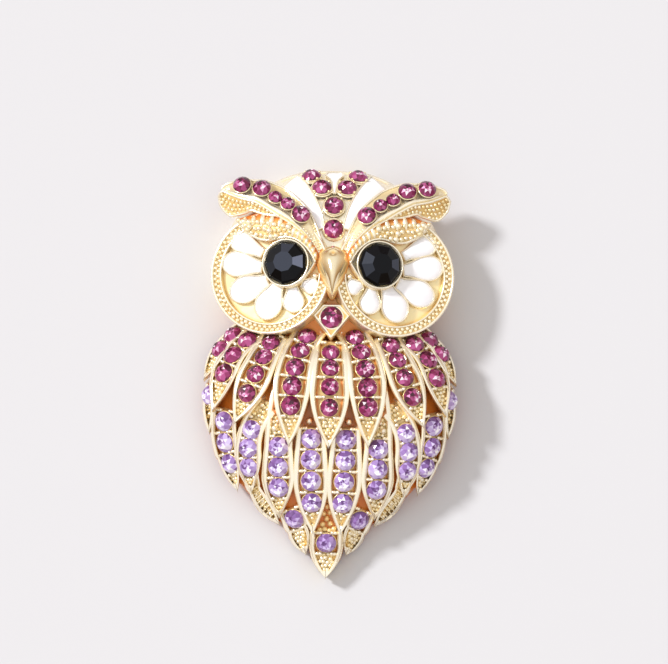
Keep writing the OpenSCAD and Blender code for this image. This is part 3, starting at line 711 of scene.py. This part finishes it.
def disc_dish():
    """The dish is a profile, with each wire's top a half circle, turned round its middle; its underside is kept off
    the head's hollow."""
    turn = np.linspace(0, np.pi, 7)
    def edge(middle, r, top):
        """The half circle of a wire's top."""
        return np.stack([middle + r * np.cos(turn), top - r + r * np.sin(turn)], -1)
    profile = np.concatenate([
        [[3.0, -1.2], [disc_r - 2.2, -2.6], [disc_r - 0.9, -disc_depth], [disc_r - 0.02, -0.4 * disc_depth],
         [disc_r, 0.1]], edge(disc_r - 0.17, 0.17, 0.84),
        [[disc_r - 0.36, 0.42], [disc_r - 0.74, 0.38], [disc_r - 1.10, 0.42]], edge(disc_r - 1.24, 0.12, 0.78),
        [[disc_r - 1.38, 0.25], [disc_r - 1.46, 0.03], [disc_r - 1.8, 0.0], [3.5, 0.0]]])
    # Painted light along the profile: shade under the dish, a highlight over each wire's top, shade at the inner
    # wire's foot
    tone = np.concatenate([[0, 0, 0.2, 0.5, 0.8], 0.95 + 0.05 * np.sin(turn), [0.6, 0.55, 0.6],
                           0.85 + 0.15 * np.sin(turn), [0.55, 0.45, 0.72, 0.72]])
    points, *rest = toned(np.array([circle(r, z, 144) for r, z in profile]), tone[:, None], [0, 0.6])
    return (clear_of_hollow(on_disc(points), *hollow_of_head), *rest)


def milled_row():
    """Two staggered rows of beads at an even pitch round the border."""
    parts = []
    for n, r in enumerate((disc_r - 0.54, disc_r - 0.92)):
        count = int(2 * np.pi * (disc_r - 0.73) / 0.66)
        parts.append(uneven_beads(on_disc(circle(r, 0.52, count, 0.5 * n)), 0.27, (0.9, 1.08), (0.8, 1.0)))
    return parts


def petal_half(t, t0):
    """A petal's half width: a smooth step up from 0.45 to its widest place, then a quarter ellipse."""
    u = np.minimum(t / t0, 1)
    return np.where(t < t0, 0.45 + 0.55 * (3 * u ** 2 - 2 * u ** 3),
                    np.sqrt(np.maximum(0, 1 - ((t - t0) / (1 - t0)) ** 2)))


def petal_outline(p, grow):
    """Points round a petal, grown by a margin that closes to nothing at its end."""
    a, b = np.array(p[:2]) * disc_r, np.array(p[2:4]) * disc_r
    d = unit(b - a)
    s = leftwards(d)
    a, b = a - d * grow, b + d * grow
    t = np.sin(np.pi / 2 * np.arange(23) / 22)
    half = np.maximum(0.0, p[4] * disc_r * petal_half(t, p[5]) + grow * np.minimum(1, 3.0 * (1 - t)))
    one = a + (b - a) * t[:, None] + s * half[:, None]
    other = a + (b - a) * t[::-1, None] - s * half[::-1, None]
    return np.concatenate([one, other[1:]])


def petal_wire(p):
    """The tall thin wire round a petal, just outside its outline."""
    return wire(on_disc(lifted(petal_outline(p, 0.08), cell_h - 0.08)), 0.11, 8, closed=True, flat=1.9)


cast_piece("face_discs", both([disc_dish(), *milled_row()]))
# One ball stands on the disc by the eye's corner
corner_ball = beads(on_disc([[-0.756 * disc_r, -0.061 * disc_r, 0.55]]), 0.42, tone=1.0)
cast_piece("petal_cells", both([petal_wire(p) for p in PETALS] + [corner_ball]), crease=1.2)


# The petals: white hard enamel filled into the cells and fired or cured with a glossy, crowned top.
def glossy_enamel():
    """White with a faint cool cast that varies with noise of 2.5 mm, as does its height, under a smooth coat."""
    finish, tree = bare_finish("glossy_white_enamel")
    place = add(tree, "ShaderNodeTexCoord").outputs["Object"]
    noise = add(tree, "ShaderNodeTexNoise", {"Vector": place}, Scale=1 / (2.5 * MM), Detail=2.0)
    bump = add(tree, "ShaderNodeBump", {"Height": noise.outputs["Fac"]}, Strength=0.12, Distance=0.06 * MM)
    white = ramp_of(tree, noise.outputs["Fac"], [(0.3, "#F1F0F5"), (0.7, "#FCFBFD")])
    gloss = add(tree, "ShaderNodeBsdfPrincipled", {"Base Color": white, "Normal": bump.outputs["Normal"]},
                Roughness=0.16, IOR=1.5, Coat_Weight=0.6, Coat_Roughness=0.04)
    add(tree, "ShaderNodeOutputMaterial", {"Surface": gloss.outputs["BSDF"]})
    return finish


# A clean, wet-looking white whose small highlights bend where the enamel has pooled
white_enamel = glossy_enamel()


def drawn_in(line, middle, steps):
    """Copies of a closed line, each drawn in to the middle by a share k and set at a height."""
    return np.array([lifted(middle + (line - middle) * k, height) for k, height in steps])


def petal_fill(p):
    """The outline drawn in to the petal's middle in steps, rising as the root of 1 - k squared."""
    line = petal_outline(p, -0.02)
    crown = [(k, cell_h - 0.12 + 0.32 * np.sqrt(1 - k * k)) for k in (0.96, 0.86, 0.70, 0.5, 0.25, 0.06)]
    return (*lofted(on_disc(drawn_in(line, line.mean(0), [(1.0, 0.05), (1.0, cell_h - 0.12), *crown]))), 0)


def enamel_piece(name, part, node):
    """One filled cell."""
    add_piece(name, [part], white_enamel, [node], crease=1.0)


for i, p in enumerate(PETALS, 1):
    for side, part in zip(("right", "left"), pair(petal_fill(p))):
        enamel_piece(f"enamel_{side}_{i}", part, f"petal_{side}_{i}")


# The eyes: round jet-black cut glass with nine long crown facets, each in a thin turned-over bezel on an almond-
# shaped setting whose corner points to the beak. The glass is near black all through and polished hard; the grey
# on the facets that face the light is a painted reflection in their tones.
eye_sides = 9
jet_glass = cut_glass("jet_black_cut_glass", [
    (0.0, "#020203"), (0.3, "#101218"), (0.6, "#363A44"), (0.8, "#50566A"), (1.0, "#7A8094")], 0.12, 0.06, 0.15)


def stone_frame(node):
    """A stone's place from its solid: the mean of its corners, and the axis along which they spread least."""
    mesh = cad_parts[node].data
    at = np.empty(len(mesh.vertices) * 3)
    mesh.vertices.foreach_get("co", at)
    at = np.unique(at.reshape(-1, 3).round(7), axis=0) / MM
    middle = at.mean(0)
    _, axes = np.linalg.eigh(np.cov((at - middle).T))
    out = axes[:, 0] * np.sign(axes[2, 0])
    along = (at - middle) @ out
    height = along.max() - along.min()
    wide = 2 * np.linalg.norm((at - middle) - along[:, None] * out, axis=1).max()
    return middle + out * (along.min() + gem_low * height), out, wide, height


def one_stone(name, node, grow=1.0):
    """A fuchsia stone in the place of a node's, grown in width by a factor; returns its place, axis and width."""
    at, out, wide, high = stone_frame(node)
    parts, spins = set_stones([at], np.array([out]), [wide * grow], [high])
    add_piece(name, parts, fuchsia_glass, [node], per_face=painted_facet_light(spins))
    return at, out, wide


def jet_eye(name, node, table, gleams):
    """A table of one tone, a painted reflection, and long facets down to a bevelled girdle, whose tones are by
    chance but for the gleams, which name the facets given a painted highlight."""
    at, out, wide, high = stone_frame(node)
    across, ahead = across_and_ahead(out)
    steps = [(0.17, -gem_low), (0.5, -0.04), (0.5, 0.06), (0.45, 0.2), (0.235, 0.58)]
    points, faces = lofted(np.array([circle(r, z, eye_sides, 0.55) for r, z in steps]))
    corners = at + wide * (points[:, :1] * across + points[:, 1:2] * ahead) + high * points[:, 2:] * out
    facets, each = 0.04 + 0.16 * rng.random(eye_sides), np.ones(eye_sides)
    facets[[k for k, _ in gleams]] = [tone for _, tone in gleams]
    tones = np.concatenate([0.1 * each, 0.1 * each, 0.3 * rng.random(eye_sides), facets, 0.1 * each, table * each])
    add_piece(name, [(corners, faces, 0)], jet_glass, [node], per_face=tones)
    return at, out, wide


def almond():
    """A plate round the eye drawn out to a corner: the circle's edge is pulled towards it on that side."""
    turns, corner = 96, np.array([-0.785, 0.150]) * disc_r
    line = eye_at + circle(eye_d / 2 + 0.36, 0, turns)[:, :2]
    pull = np.clip((-np.cos(around(turns)) - 0.50) / 0.50, 0, 1) ** 1.5
    rings = drawn_in(line + (corner - line) * pull[:, None], eye_at, [
        (1.0, 0.0), (1.0, 0.95), (0.975, 1.10), (0.94, 1.16), (0.90, 1.10), (0.86, 1.0), (0.5, 0.6)])
    # Painted light: shade at the plate's foot and down towards the eye, a highlight along its raised edge
    return toned(on_disc(rings), np.array([0.2, 0.8, 1.0, 1.0, 0.9, 0.75, 0.3])[:, None], [0.2, 0.4])


settings = pair(almond())
# Tone of each eye's table, a painted reflection, and the facets with a painted highlight, with their tones
EYE_GLEAMS = {"left": (0.62, [(8, 0.92), (1, 0.62), (4, 0.36), (6, 0.28)]),
              "right": (0.14, [(8, 0.66), (3, 0.58), (4, 0.50), (2, 0.26)])}
for side, (table, gleams) in EYE_GLEAMS.items():
    at, out, wide = jet_eye(f"jet_eye_{side}", f"eye_stone_{side}", table, gleams)
    settings.append(collar(at, out, wide / 2 + 0.17, tube=0.11, height=0.10, turns=64))
cast_piece("eye_settings", settings, crease=0.9)


# The eyelids: the slopes between each brow and its disc, sunk below the brow, with cast ribs and beads. A wire
# that dips over the eye edges them below and runs down to the corner by the beak, where the ribs are a ladder.
# Both lines are in disc places: x and y as shares of its radius, and height over its floor in mm
LID_WIRE = np.array([
    [0.520, 0.838, 0.9], [0.409, 0.698, 0.95], [0.299, 0.611, 1.0], [0.147, 0.544, 1.0], [0.019, 0.531, 1.05],
    [-0.098, 0.548, 1.1], [-0.249, 0.576, 1.2], [-0.400, 0.551, 1.25], [-0.526, 0.485, 1.3],
    [-0.657, 0.366, 1.3], [-0.737, 0.248, 1.3], [-0.778, 0.158, 1.25]])
LID_TOP = np.array([
    [0.60, 0.886, 0.6], [0.348, 0.950, 0.7], [0.147, 1.000, 0.75], [-0.022, 1.005, 0.8], [-0.193, 0.945, 0.85],
    [-0.329, 0.865, 0.9], [-0.501, 0.735, 1.0], [-0.638, 0.590, 1.1], [-0.759, 0.420, 1.15],
    [-0.830, 0.260, 1.2]])


def distances(points):
    """How far along a line of points each of them lies."""
    return np.concatenate([[0], np.cumsum(np.linalg.norm(np.diff(points, axis=0), axis=1))])


def at_places(points, scale, places):
    """Points at places on a line of points whose own places are on a scale, straight between them."""
    return np.stack([np.interp(places, scale, column) for column in points.T], -1)


def through(points, count):
    """A smooth line through points: each coordinate is a cubic in the distance along them."""
    table = np.column_stack([distances(points), points])
    at = np.linspace(0, table[-1, 0], count)
    return np.stack([smooth_column(table, at, c) for c in (1, 2, 3)], -1)


def lid_at(along, share, height=0.0):
    """Points on the lid: along from its outer end, 0 to 1, share from its wire to its top, bellied between."""
    along, share = np.broadcast_arrays(np.asarray(along, float), np.asarray(share, float))
    a, b = (at_places(through(side * [disc_r, disc_r, 1], 80), np.linspace(0, 1, 80), along)
            for side in (LID_WIRE, LID_TOP))
    point = a + (b - a) * share[..., None]
    point[..., 2] += 0.35 * np.sin(np.pi * share) + height
    return point


def lid_skin():
    """The lid and the same surface 1.3 mm lower; its upper half gets painted shade towards the brow, whose rim
    would shadow it, and the lower surface is in full painted shade.
    """
    share, along = np.linspace(0, 1, 9), np.linspace(0, 1, 64)[:, None]
    rows = lid_at(along, share[None, :])
    rings = np.concatenate([rows, rows[:, ::-1] - [0, 0, 1.3]], 1)
    tone = np.concatenate([0.5 - 0.4 * np.clip(share * 3 - 1.5, 0, 1), 0 * share])
    return toned(on_disc(rings), tone, [0.2, 0.2])


def lid_ribs():
    """Long beads that stand across the lid: thin ones over the eye, and thick ones as a ladder by the beak."""
    parts = []
    for at, low, high, thick in (
            [(u, 0.45, 0.92, 0.36) for u in np.linspace(0.10, 0.56, 6)]
            + [(u, 0.10, 0.90, 0.34) for u in np.linspace(0.63, 0.97, 7)]):
        ends = on_disc(lid_at([at, at], [low, high], 0.12))
        reach = (ends[1] - ends[0]) / 2
        side = unit(on_disc(lid_at(at + 0.02, 0.5)) - on_disc(lid_at(at, 0.5)))
        axes = np.array([[reach * 1.12, side * thick, unit(np.cross(reach, side)) * 0.30]])
        parts.append(beads(ends.mean(0), 1, axes, 0.95))
    return parts


def lid_grain():
    """Uneven beads over the lower two thirds of the lid above the eye."""
    places = []
    for n, share in enumerate((0.12, 0.34, 0.56)):
        along = np.arange(0.03 + 0.025 * (n % 2), 0.60, 0.054)
        along = along + rng.uniform(-0.008, 0.008, len(along))
        places.append(lid_at(along, share + rng.uniform(-0.03, 0.03, len(along)), 0.08))
    return uneven_beads(on_disc(np.concatenate(places)), 0.40, (0.6, 1.2), (0.75, 1.0))


lid_line = on_disc(lid_at(np.linspace(0, 1, 90), 0.0, 0.05))
cast_piece("eyelids", both([lid_skin(), wire(lid_line, 0.17), lid_grain(), *lid_ribs()]), crease=1.2)


# The brows: two swept horns from the beak to the ear tips. Each has a let-in band with five fuchsia stones, a
# broad smooth ridge below it, and under the ridge a pebbled tuft with a wire edge.
# Sections: the stones' line x and y, its height as a share of the head's, the angle the section is turned by, and
# its reach up to the back edge, down to the crest and on over the tuft, as shares of a stone's width
BROW = np.array([
    [0.080, 0.531, 1.220, 72, 0.15, 0.17, 0.06], [0.104, 0.575, 1.245, 69, 0.19, 0.22, 0.06],
    [0.141, 0.629, 1.255, 65, 0.25, 0.30, 0.06], [0.186, 0.683, 1.240, 58, 0.32, 0.44, 0.06],
    [0.256, 0.745, 1.210, 47, 0.43, 0.63, 0.08], [0.362, 0.798, 1.165, 34, 0.55, 0.72, 0.08],
    [0.461, 0.830, 1.115, 31, 0.68, 0.64, 0.38], [0.572, 0.876, 1.055, 24, 0.46, 0.70, 0.54],
    [0.651, 0.884, 1.015, 12, 0.37, 0.63, 0.71], [0.730, 0.893, 0.970, 7, 0.34, 0.59, 0.91],
    [0.813, 0.893, 0.930, 2, 0.15, 0.40, 1.10], [0.868, 0.887, 0.890, 8, 0.08, 0.16, 0.85],
    [0.890, 0.874, 0.870, 12, 0.04, 0.08, 0.45]])
BROW = np.column_stack([np.arange(len(BROW)), BROW])
last_row, brow_steps, brow_drop, crest_r = len(BROW) - 1, 130, 2.6, 0.25


def brow_columns(at):
    """The brow's stones' line, its downward direction and its three reaches at places from 0 to its last row."""
    at = np.asarray(at, float)
    x, y, z, angle, back, crest, tuft = (smooth_column(BROW, at, c) for c in range(1, 8))
    turn = np.radians(angle)
    return (np.stack([x * half_w, y * half_l, z * head_h], -1), np.stack([np.sin(turn), -np.cos(turn)], -1),
            back * stone_d, crest * stone_d, tuft * stone_d)


def brow_point(at, aside, rise):
    """A point at a place along the brow, aside down from its middle line, and rise above it."""
    p, s, _, _, _ = brow_columns(at)
    return p + np.stack([s[..., 0] * aside, s[..., 1] * aside, rise + 0 * aside], -1)


def brow_skin():
    """Sections: up the back, over a channel for the stones and a broad polished band, then down the tuft."""
    at = np.linspace(0, last_row, brow_steps)
    _, _, back, crest, tuft = brow_columns(at)
    zero = 0 * at
    seat = np.minimum(0.44 * stone_d, crest * 0.75)
    edge = crest + np.maximum(tuft, crest_r)
    bulge = np.minimum(0.34, (crest - seat) * 0.8)
    mid = (seat + crest) / 2
    face = lambda k: (crest + 0.15 + (edge - crest - 0.15) * k, -(0.4 * tuft + 0.2) * k - 0.12 * np.sin(np.pi * k))
    ring = [(-back * 0.8, zero - brow_drop), (-back, -0.8 * back - 0.2), (-back, -0.8 * back),
            (-back * 0.85, -0.68 * back - 0.08), (-back * 0.4, -0.34 * back - 0.10), (zero, zero - 0.12),
            (seat * 0.9, zero - 0.04), (seat, zero + 0.06), (seat + (mid - seat) * 0.4, bulge * 0.75),
            (mid, bulge), (crest - (crest - mid) * 0.3, 0.1 + bulge * 0.6), (crest, zero + 0.12),
            (crest + 0.12, zero - 0.06), face(0.12), face(0.5), face(0.85), (edge, -0.4 * tuft - 0.15),
            (edge, -0.4 * tuft - 0.5), (edge - 0.2 * tuft, zero - brow_drop)]
    # Painted light round the section: shade at the back's foot and under the tuft, a highlight over the band
    tone = [0.1, 0.4, 0.9, 0.75, 0.8, 0.8, 0.85, 0.95, 1, 1, 1, 0.9, 0.5, 0.45, 0.45, 0.5, 0.8, 0.4, 0.1]
    return toned(np.stack([brow_point(at, a, r) for a, r in ring], 1), tone, [0.6, 0.8])


def brow_wires():
    """A wire up the back edge, one under the crest near the beak, and one out and back round the tuft."""
    at = np.linspace(0, last_row, brow_steps)
    _, _, back, crest, _ = brow_columns(at)
    back_edge = wire(brow_point(at, -back, -0.8 * back + 0.06), 0.16)
    near = np.linspace(0, 5.2, 60)
    lower = wire(brow_point(near, np.interp(near, at, crest + 0.2), -0.12), 0.13)
    leaf = np.linspace(5.0, last_row, 80)
    _, _, _, crest, tuft = brow_columns(leaf)
    upper_rim = brow_point(leaf, crest + 0.22, -0.02)
    lower_rim = brow_point(leaf, crest + np.maximum(tuft, crest_r), -0.4 * tuft - 0.14)
    tip = (upper_rim[-1] + lower_rim[-1]) / 2 + [0.18, 0, 0.0]
    return [back_edge, lower, wire(np.concatenate([upper_rim, [tip], lower_rim[::-1]]), 0.17)]


def brow_grain():
    """Beads in four staggered rows on the tuft's face, where it is wide enough, and in three down the band between
    the last stone and the beak; a bead nearer than its room to one before it is left out."""
    tuft_at, band_at = [], []
    at = np.linspace(5.6, last_row - 0.2, 200)
    _, _, _, crest, tuft = brow_columns(at)
    for n, share in enumerate((0.20, 0.45, 0.70, 0.93)):
        row = brow_point(at, crest + 0.30 + (tuft - 0.40) * share, -(0.4 * tuft + 0.2) * share - 0.06)
        far = distances(row)
        places = np.arange(0.1 + 0.27 * (n % 2), far[-1], 0.54)
        tuft_at.append(at_places(row, far, places)[np.interp(places, far, tuft) > 0.62])
    at = np.linspace(0.2, 3.15, 80)
    _, _, back, crest, _ = brow_columns(at)
    for share in (0.2, 0.5, 0.8):
        row = brow_point(at, -back + (back + crest) * share, -0.8 * back * (1 - share) + 0.02)
        far = distances(row)
        band_at.append(at_places(row, far, np.arange(0.1, far[-1], 0.40)))
    parts = []
    for spots, size, room in ((np.concatenate(tuft_at), 0.26, 0.44), (np.concatenate(band_at), 0.18, 0.30)):
        kept = [0]
        for n in range(1, len(spots)):
            if np.linalg.norm(spots[kept] - spots[n], axis=1).min() > room:
                kept.append(n)
        parts.append(uneven_beads(spots[kept], size, (0.85, 1.1), (0.6, 0.95)))
    return parts


cast_piece("brows", both([brow_skin(), *brow_wires(), *brow_grain()]), crease=0.9)
seats = []
for side in ("left", "right"):
    for i in range(1, 6):
        at, out, wide = one_stone(f"brow_gem_{side}_{i}", f"brow_stone_{side}_{i}", grow=1.02)
        seats.append(collar(at, out, wide / 2 + 0.03, tube=0.09, height=-0.14, steps=6, turns=20, tone=0.8))


# The forehead: six fuchsia stones in a V, each in a thin seat with prongs, between two curved bands of white
# enamel that have gold wire edges. A small white patch and an arched wire close the head's top.
# Each band runs through three points, with its half width at the top and the share of it at the bottom
BAND = np.array([[0.110, 0.681], [0.203, 0.815], [0.352, 0.930]]) * [half_w, half_l]
band_half, band_taper = 1.35, 0.38
# Crown patch: place along the half length, half width as a share of a stone's
PATCH = np.array([[0.866, 0.03], [0.900, 0.08], [0.935, 0.14], [0.955, 0.30], [0.970, 0.42], [0.984, 0.34]])


def head_z(plan, up):
    """Height of the head's dome, grown by up, over plan points."""
    return dome_z(HEAD, head_h, plan[..., 0], plan[..., 1], up)


def strip_sides(c, grow):
    """A parabola through three points, and the way to its side, whose length narrows towards the first point."""
    t = np.linspace(0, 1, 40)[:, None]
    pull = 2 * c[1] - (c[0] + c[2]) / 2
    p = c[0] * (1 - t) ** 2 + pull * 2 * t * (1 - t) + c[2] * t ** 2
    d = (pull - c[0]) * (1 - t) + (c[2] - pull) * t
    return p, leftwards(unit(d)) * (band_half * (band_taper + (1 - band_taper) * t) + grow)


def patch_sides(grow):
    """The crown patch's middle line and the way to its side, from its table."""
    at = np.linspace(PATCH[0, 0], PATCH[-1, 0], 24)
    wide = smooth_column(PATCH, at, 1) * stone_d + grow
    return np.column_stack([0 * at, at * half_l]), np.column_stack([wide, 0 * at])


def strip_fill(p, s, low, high):
    """An enamel fill on the head's dome, crowned across as the root of 1 - k squared, k the share of its side."""
    across = np.array([1, 1, 0.9, 0.6, 0.25, -0.25, -0.6, -0.9, -1, -1])
    up = high + 0.16 * np.sqrt(1 - across ** 2)
    up[[0, -1]] = low
    xy = p[:, None] + s[:, None] * across[:, None]
    return (*lofted(lifted(xy, head_z(xy, up))), 0)


def strip_wires(p, s, up):
    """The wire round a fill: out along one side and back along the other."""
    xy = np.concatenate([p + s, (p - s)[::-1]])
    return wire(lifted(xy, head_z(xy, up)), 0.13, 8, closed=True, flat=1.5)


for side, part in zip(("right", "left"), pair(strip_fill(*strip_sides(BAND, 0.0), 0.1, 0.50))):
    enamel_piece(f"enamel_band_{side}", part, f"forehead_band_{side}")
enamel_piece("enamel_crown", strip_fill(*patch_sides(0.0), 0.0, 0.42), "crown_patch")
forehead = pair(strip_wires(*strip_sides(BAND, 0.10), 0.50)) + [strip_wires(*patch_sides(0.10), 0.42)]
for i in range(1, 7):
    at, out, wide = one_stone(f"crest_gem_{i}", f"crest_stone_{i}")
    seats.append(collar(at, out, wide / 2 + 0.03, tube=0.10, height=-0.12, steps=6, turns=20, tone=0.8))
    seats.append(collar(at, out, wide / 2 + 0.14, tube=0.14, height=-0.34, steps=6, turns=20, tone=0.9))
    across, ahead = across_and_ahead(out)
    turn = around(4, 0.5)[:, None]
    prongs = at + (wide / 2 + 0.05) * (np.cos(turn) * across + np.sin(turn) * ahead) + out * 0.08
    seats.append(beads(prongs, 0.19))
# The arched wire follows the line where the head's dome comes down to 3.75 mm
edge_z = 3.75
xs = np.linspace(-6.7, 6.7, 60)
ys = np.linspace(0.80, 1.0, 200) * half_l
edge_y = np.array([np.interp(-edge_z, -dome_z(HEAD, head_h, x, ys, 0.0), ys) for x in xs])
forehead.append(wire(lifted(np.column_stack([xs, edge_y]), edge_z + 0.05), 0.20))
cast_piece("forehead_wires", forehead, crease=1.2)


# The beak: a polished, ridged hook cast between the discs, with a small dimple at its top.
# Place along the half length, half width as a share of the brooch's, ridge and sides as shares of its full height
BEAK = np.array([
    [0.332, 0.012, 0.900, 0.840], [0.370, 0.048, 0.970, 0.850], [0.420, 0.082, 1.000, 0.860],
    [0.480, 0.115, 1.000, 0.870], [0.535, 0.130, 0.975, 0.875], [0.568, 0.095, 0.940, 0.870],
    [0.590, 0.030, 0.890, 0.850]])
beak_z = (cad_box[1].z - cad_box[0].z) / MM
# The same gold buffed to a mirror: smoother, wholly metal and hardly rippled, so it shows sharp bright bands
mirror_gilt = gilding("mirror_polished_gilding", [
    (0.0, "#A84A14"), (0.3, "#D68432"), (0.6, "#F1CF8C"), (1.0, "#FFF0CC")], 0.10, 1.6, 0.1, metal=1.0)


def beak():
    """Across it, the height falls from the ridge to the sides with the distance to the power 1.5, and the dimple is
    a bell 0.35 mm deep."""
    at = np.linspace(BEAK[0, 0], BEAK[-1, 0], 60)
    wide, ridge, side = (smooth_column(BEAK, at, c) for c in (1, 2, 3))
    u = np.sin(np.linspace(-np.pi / 2, np.pi / 2, 25))
    x = np.maximum(wide, 0.005)[:, None] * half_w * u
    z = beak_z * (side[:, None] + (ridge - side)[:, None] * (1 - np.abs(u) ** 1.5))
    dent = 0.35 * np.exp(-((at[:, None] * half_l - 14.1) ** 2 + x ** 2) / 0.10)
    y = np.broadcast_to(at[:, None] * half_l, x.shape)
    top = np.stack([x, y, z - dent], -1)
    low = np.stack([x[:, [-1, 0]], y[:, :2], np.repeat(side[:, None] * beak_z - 1.6, 2, 1)], -1)
    # Painted light: a highlight along the ridge, painted shade down the sides and in the dimple, and darker below
    painted_light = np.concatenate([1 - 0.75 * np.abs(u) ** 3 - 1.6 * dent, np.full((len(at), 2), 0.1)], 1)
    return toned(np.concatenate([top, low], 1), painted_light, [0.5, 0.5])


# The chin: a fuchsia stone in a heavy collar on a kite-shaped plate whose raised edge makes a V below it. The beak
# and all the seats of the head's stones are added here too.
chin_at, chin_z = np.array([0, 0.249 * half_l]), 8.9
KITE = np.array([[-2.3, 0.2], [0, -2.7], [2.3, 0.2], [1.1, 1.6], [-1.1, 1.6]])


def chin_plate():
    """The kite with a raised edge: its outline, seven points to a side, drawn in to the stone's place in steps."""
    line = np.concatenate([np.linspace(a, b, 8)[:-1] for a, b in zip(KITE, np.roll(KITE, -1, 0))]) + chin_at
    steps = [(1.0, -3.8), (1.0, 0.0), (0.93, 0.22), (0.84, 0.20), (0.78, -0.05), (0.4, -0.1)]
    rings = drawn_in(line, chin_at, [(k, chin_z + h) for k, h in steps])
    # Painted light: shade down the plate's side and inside its edge, a highlight on the raised edge
    return toned(rings, np.array([0.1, 0.8, 1.0, 1.0, 0.4, 0.3])[:, None], [0.1, 0.3])


at, out, wide = one_stone("chin_gem", "chin_stone")
seats.append(collar(at, out, wide / 2 + 0.06, tube=0.17, height=-0.12, steps=8, turns=32))
add_piece("beak", [beak()], mirror_gilt, ["owl_casting"], crease=0.7)
cast_piece("chin_plate", [chin_plate()], crease=0.7)
cast_piece("stone_seats", seats, crease=1.2)


# The pin: a plain steel bar pin soldered to two bosses behind the head, as such brooches carry. Its steel is a cool
# grey with fine marks, clearly not the casting's gold.
plated_steel = gilding("drawn_steel", [(0.0, "#A9ABB0"), (1.0, "#D6D8DC")], 0.30, 0.5, 0.1)
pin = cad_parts["pin_finding"]
pin.data.materials.clear()
pin.data.materials.append(plated_steel)
boss_r, boss_x, boss_y = 1.2, 7.5, 0.42 * half_l
bosses = [(*lofted(np.array([circle(boss_r, z, 24) for z in (4.15, 4.3, 6.9)]) + [x, boss_y, 0]), 0.4)
          for x in (-boss_x, boss_x)]
cast_piece("pin_bosses", bosses)


# The setting: a plain pale floor, a high soft light from the upper left and a pale surround. The floor is a matt
# board, cool and a little grey, so that it neither glares nor tints the gold.
board, tree = bare_finish("matt_white_board")
matt = add(tree, "ShaderNodeBsdfPrincipled", Base_Color=colour("#CFCFD3"), Roughness=0.7, Specular_IOR_Level=0.2)
add(tree, "ShaderNodeOutputMaterial", {"Surface": matt.outputs["BSDF"]})
floor = bpy.data.objects.new("floor", bpy.data.meshes.new("floor"))
floor.data.from_pydata([(-3, -3, 0), (3, -3, 0), (3, 3, 0), (-3, 3, 0)], [], [(0, 1, 2, 3)])
floor.data.materials.append(board)
bpy.context.collection.objects.link(floor)

# White overhead, turning to a warm brown at the horizon, which the metal's slopes mirror
world = bpy.data.worlds.new("pale_studio")
world.use_nodes = True
bpy.context.scene.world = world
tree = world.node_tree
tree.nodes.clear()
ray = add(tree, "ShaderNodeTexCoord").outputs["Generated"]
height = add(tree, "ShaderNodeSeparateXYZ", {"Vector": ray}).outputs["Z"]
sky = add(tree, "ShaderNodeBackground", {"Color": ramp_of(tree, height, [
    (0.0, "#7A5634"), (0.25, "#C4A98A"), (0.6, "#F1EEEC"), (1.0, "#FFFFFF")])}, Strength=1.0)
add(tree, "ShaderNodeOutputWorld", {"Surface": sky.outputs["Background"]})

# A sun nine degrees wide, so that shadows have soft edges
key = bpy.data.objects.new("key", bpy.data.lights.new("key", "SUN"))
key.data.energy = 2.6
key.data.angle = np.radians(9)
key.rotation_euler = (0, np.radians(-48), np.radians(-26))
bpy.context.collection.objects.link(key)

# The camera: a long lens 83 degrees above the floor, with a slight roll. The picture's width in pixels over pixels
# per mm is what it takes in, and its distance is that times the lens's length over the sensor's width.
lens, sensor, image_wide, scale = 0.180, 0.036, 668, 8.08
distance = image_wide / scale * MM * lens / sensor
tilt, roll = np.radians(90 - 83), np.radians(1.348)
target = np.array([0.348, 5.0, 5.0]) * MM
camera = bpy.data.objects.new("camera", bpy.data.cameras.new("camera"))
camera.data.lens = lens / MM
camera.data.clip_start = 0.01
camera.location = target + distance * np.array([0, -np.sin(tilt), np.cos(tilt)])
camera.rotation_mode = "QUATERNION"
turn = Matrix.Rotation(tilt, 3, "X") @ Matrix.Rotation(roll, 3, "Z")
camera.rotation_quaternion = turn.to_quaternion()
bpy.context.collection.objects.link(camera)
bpy.context.scene.camera = camera
bpy.context.scene.view_settings.view_transform = "Standard"
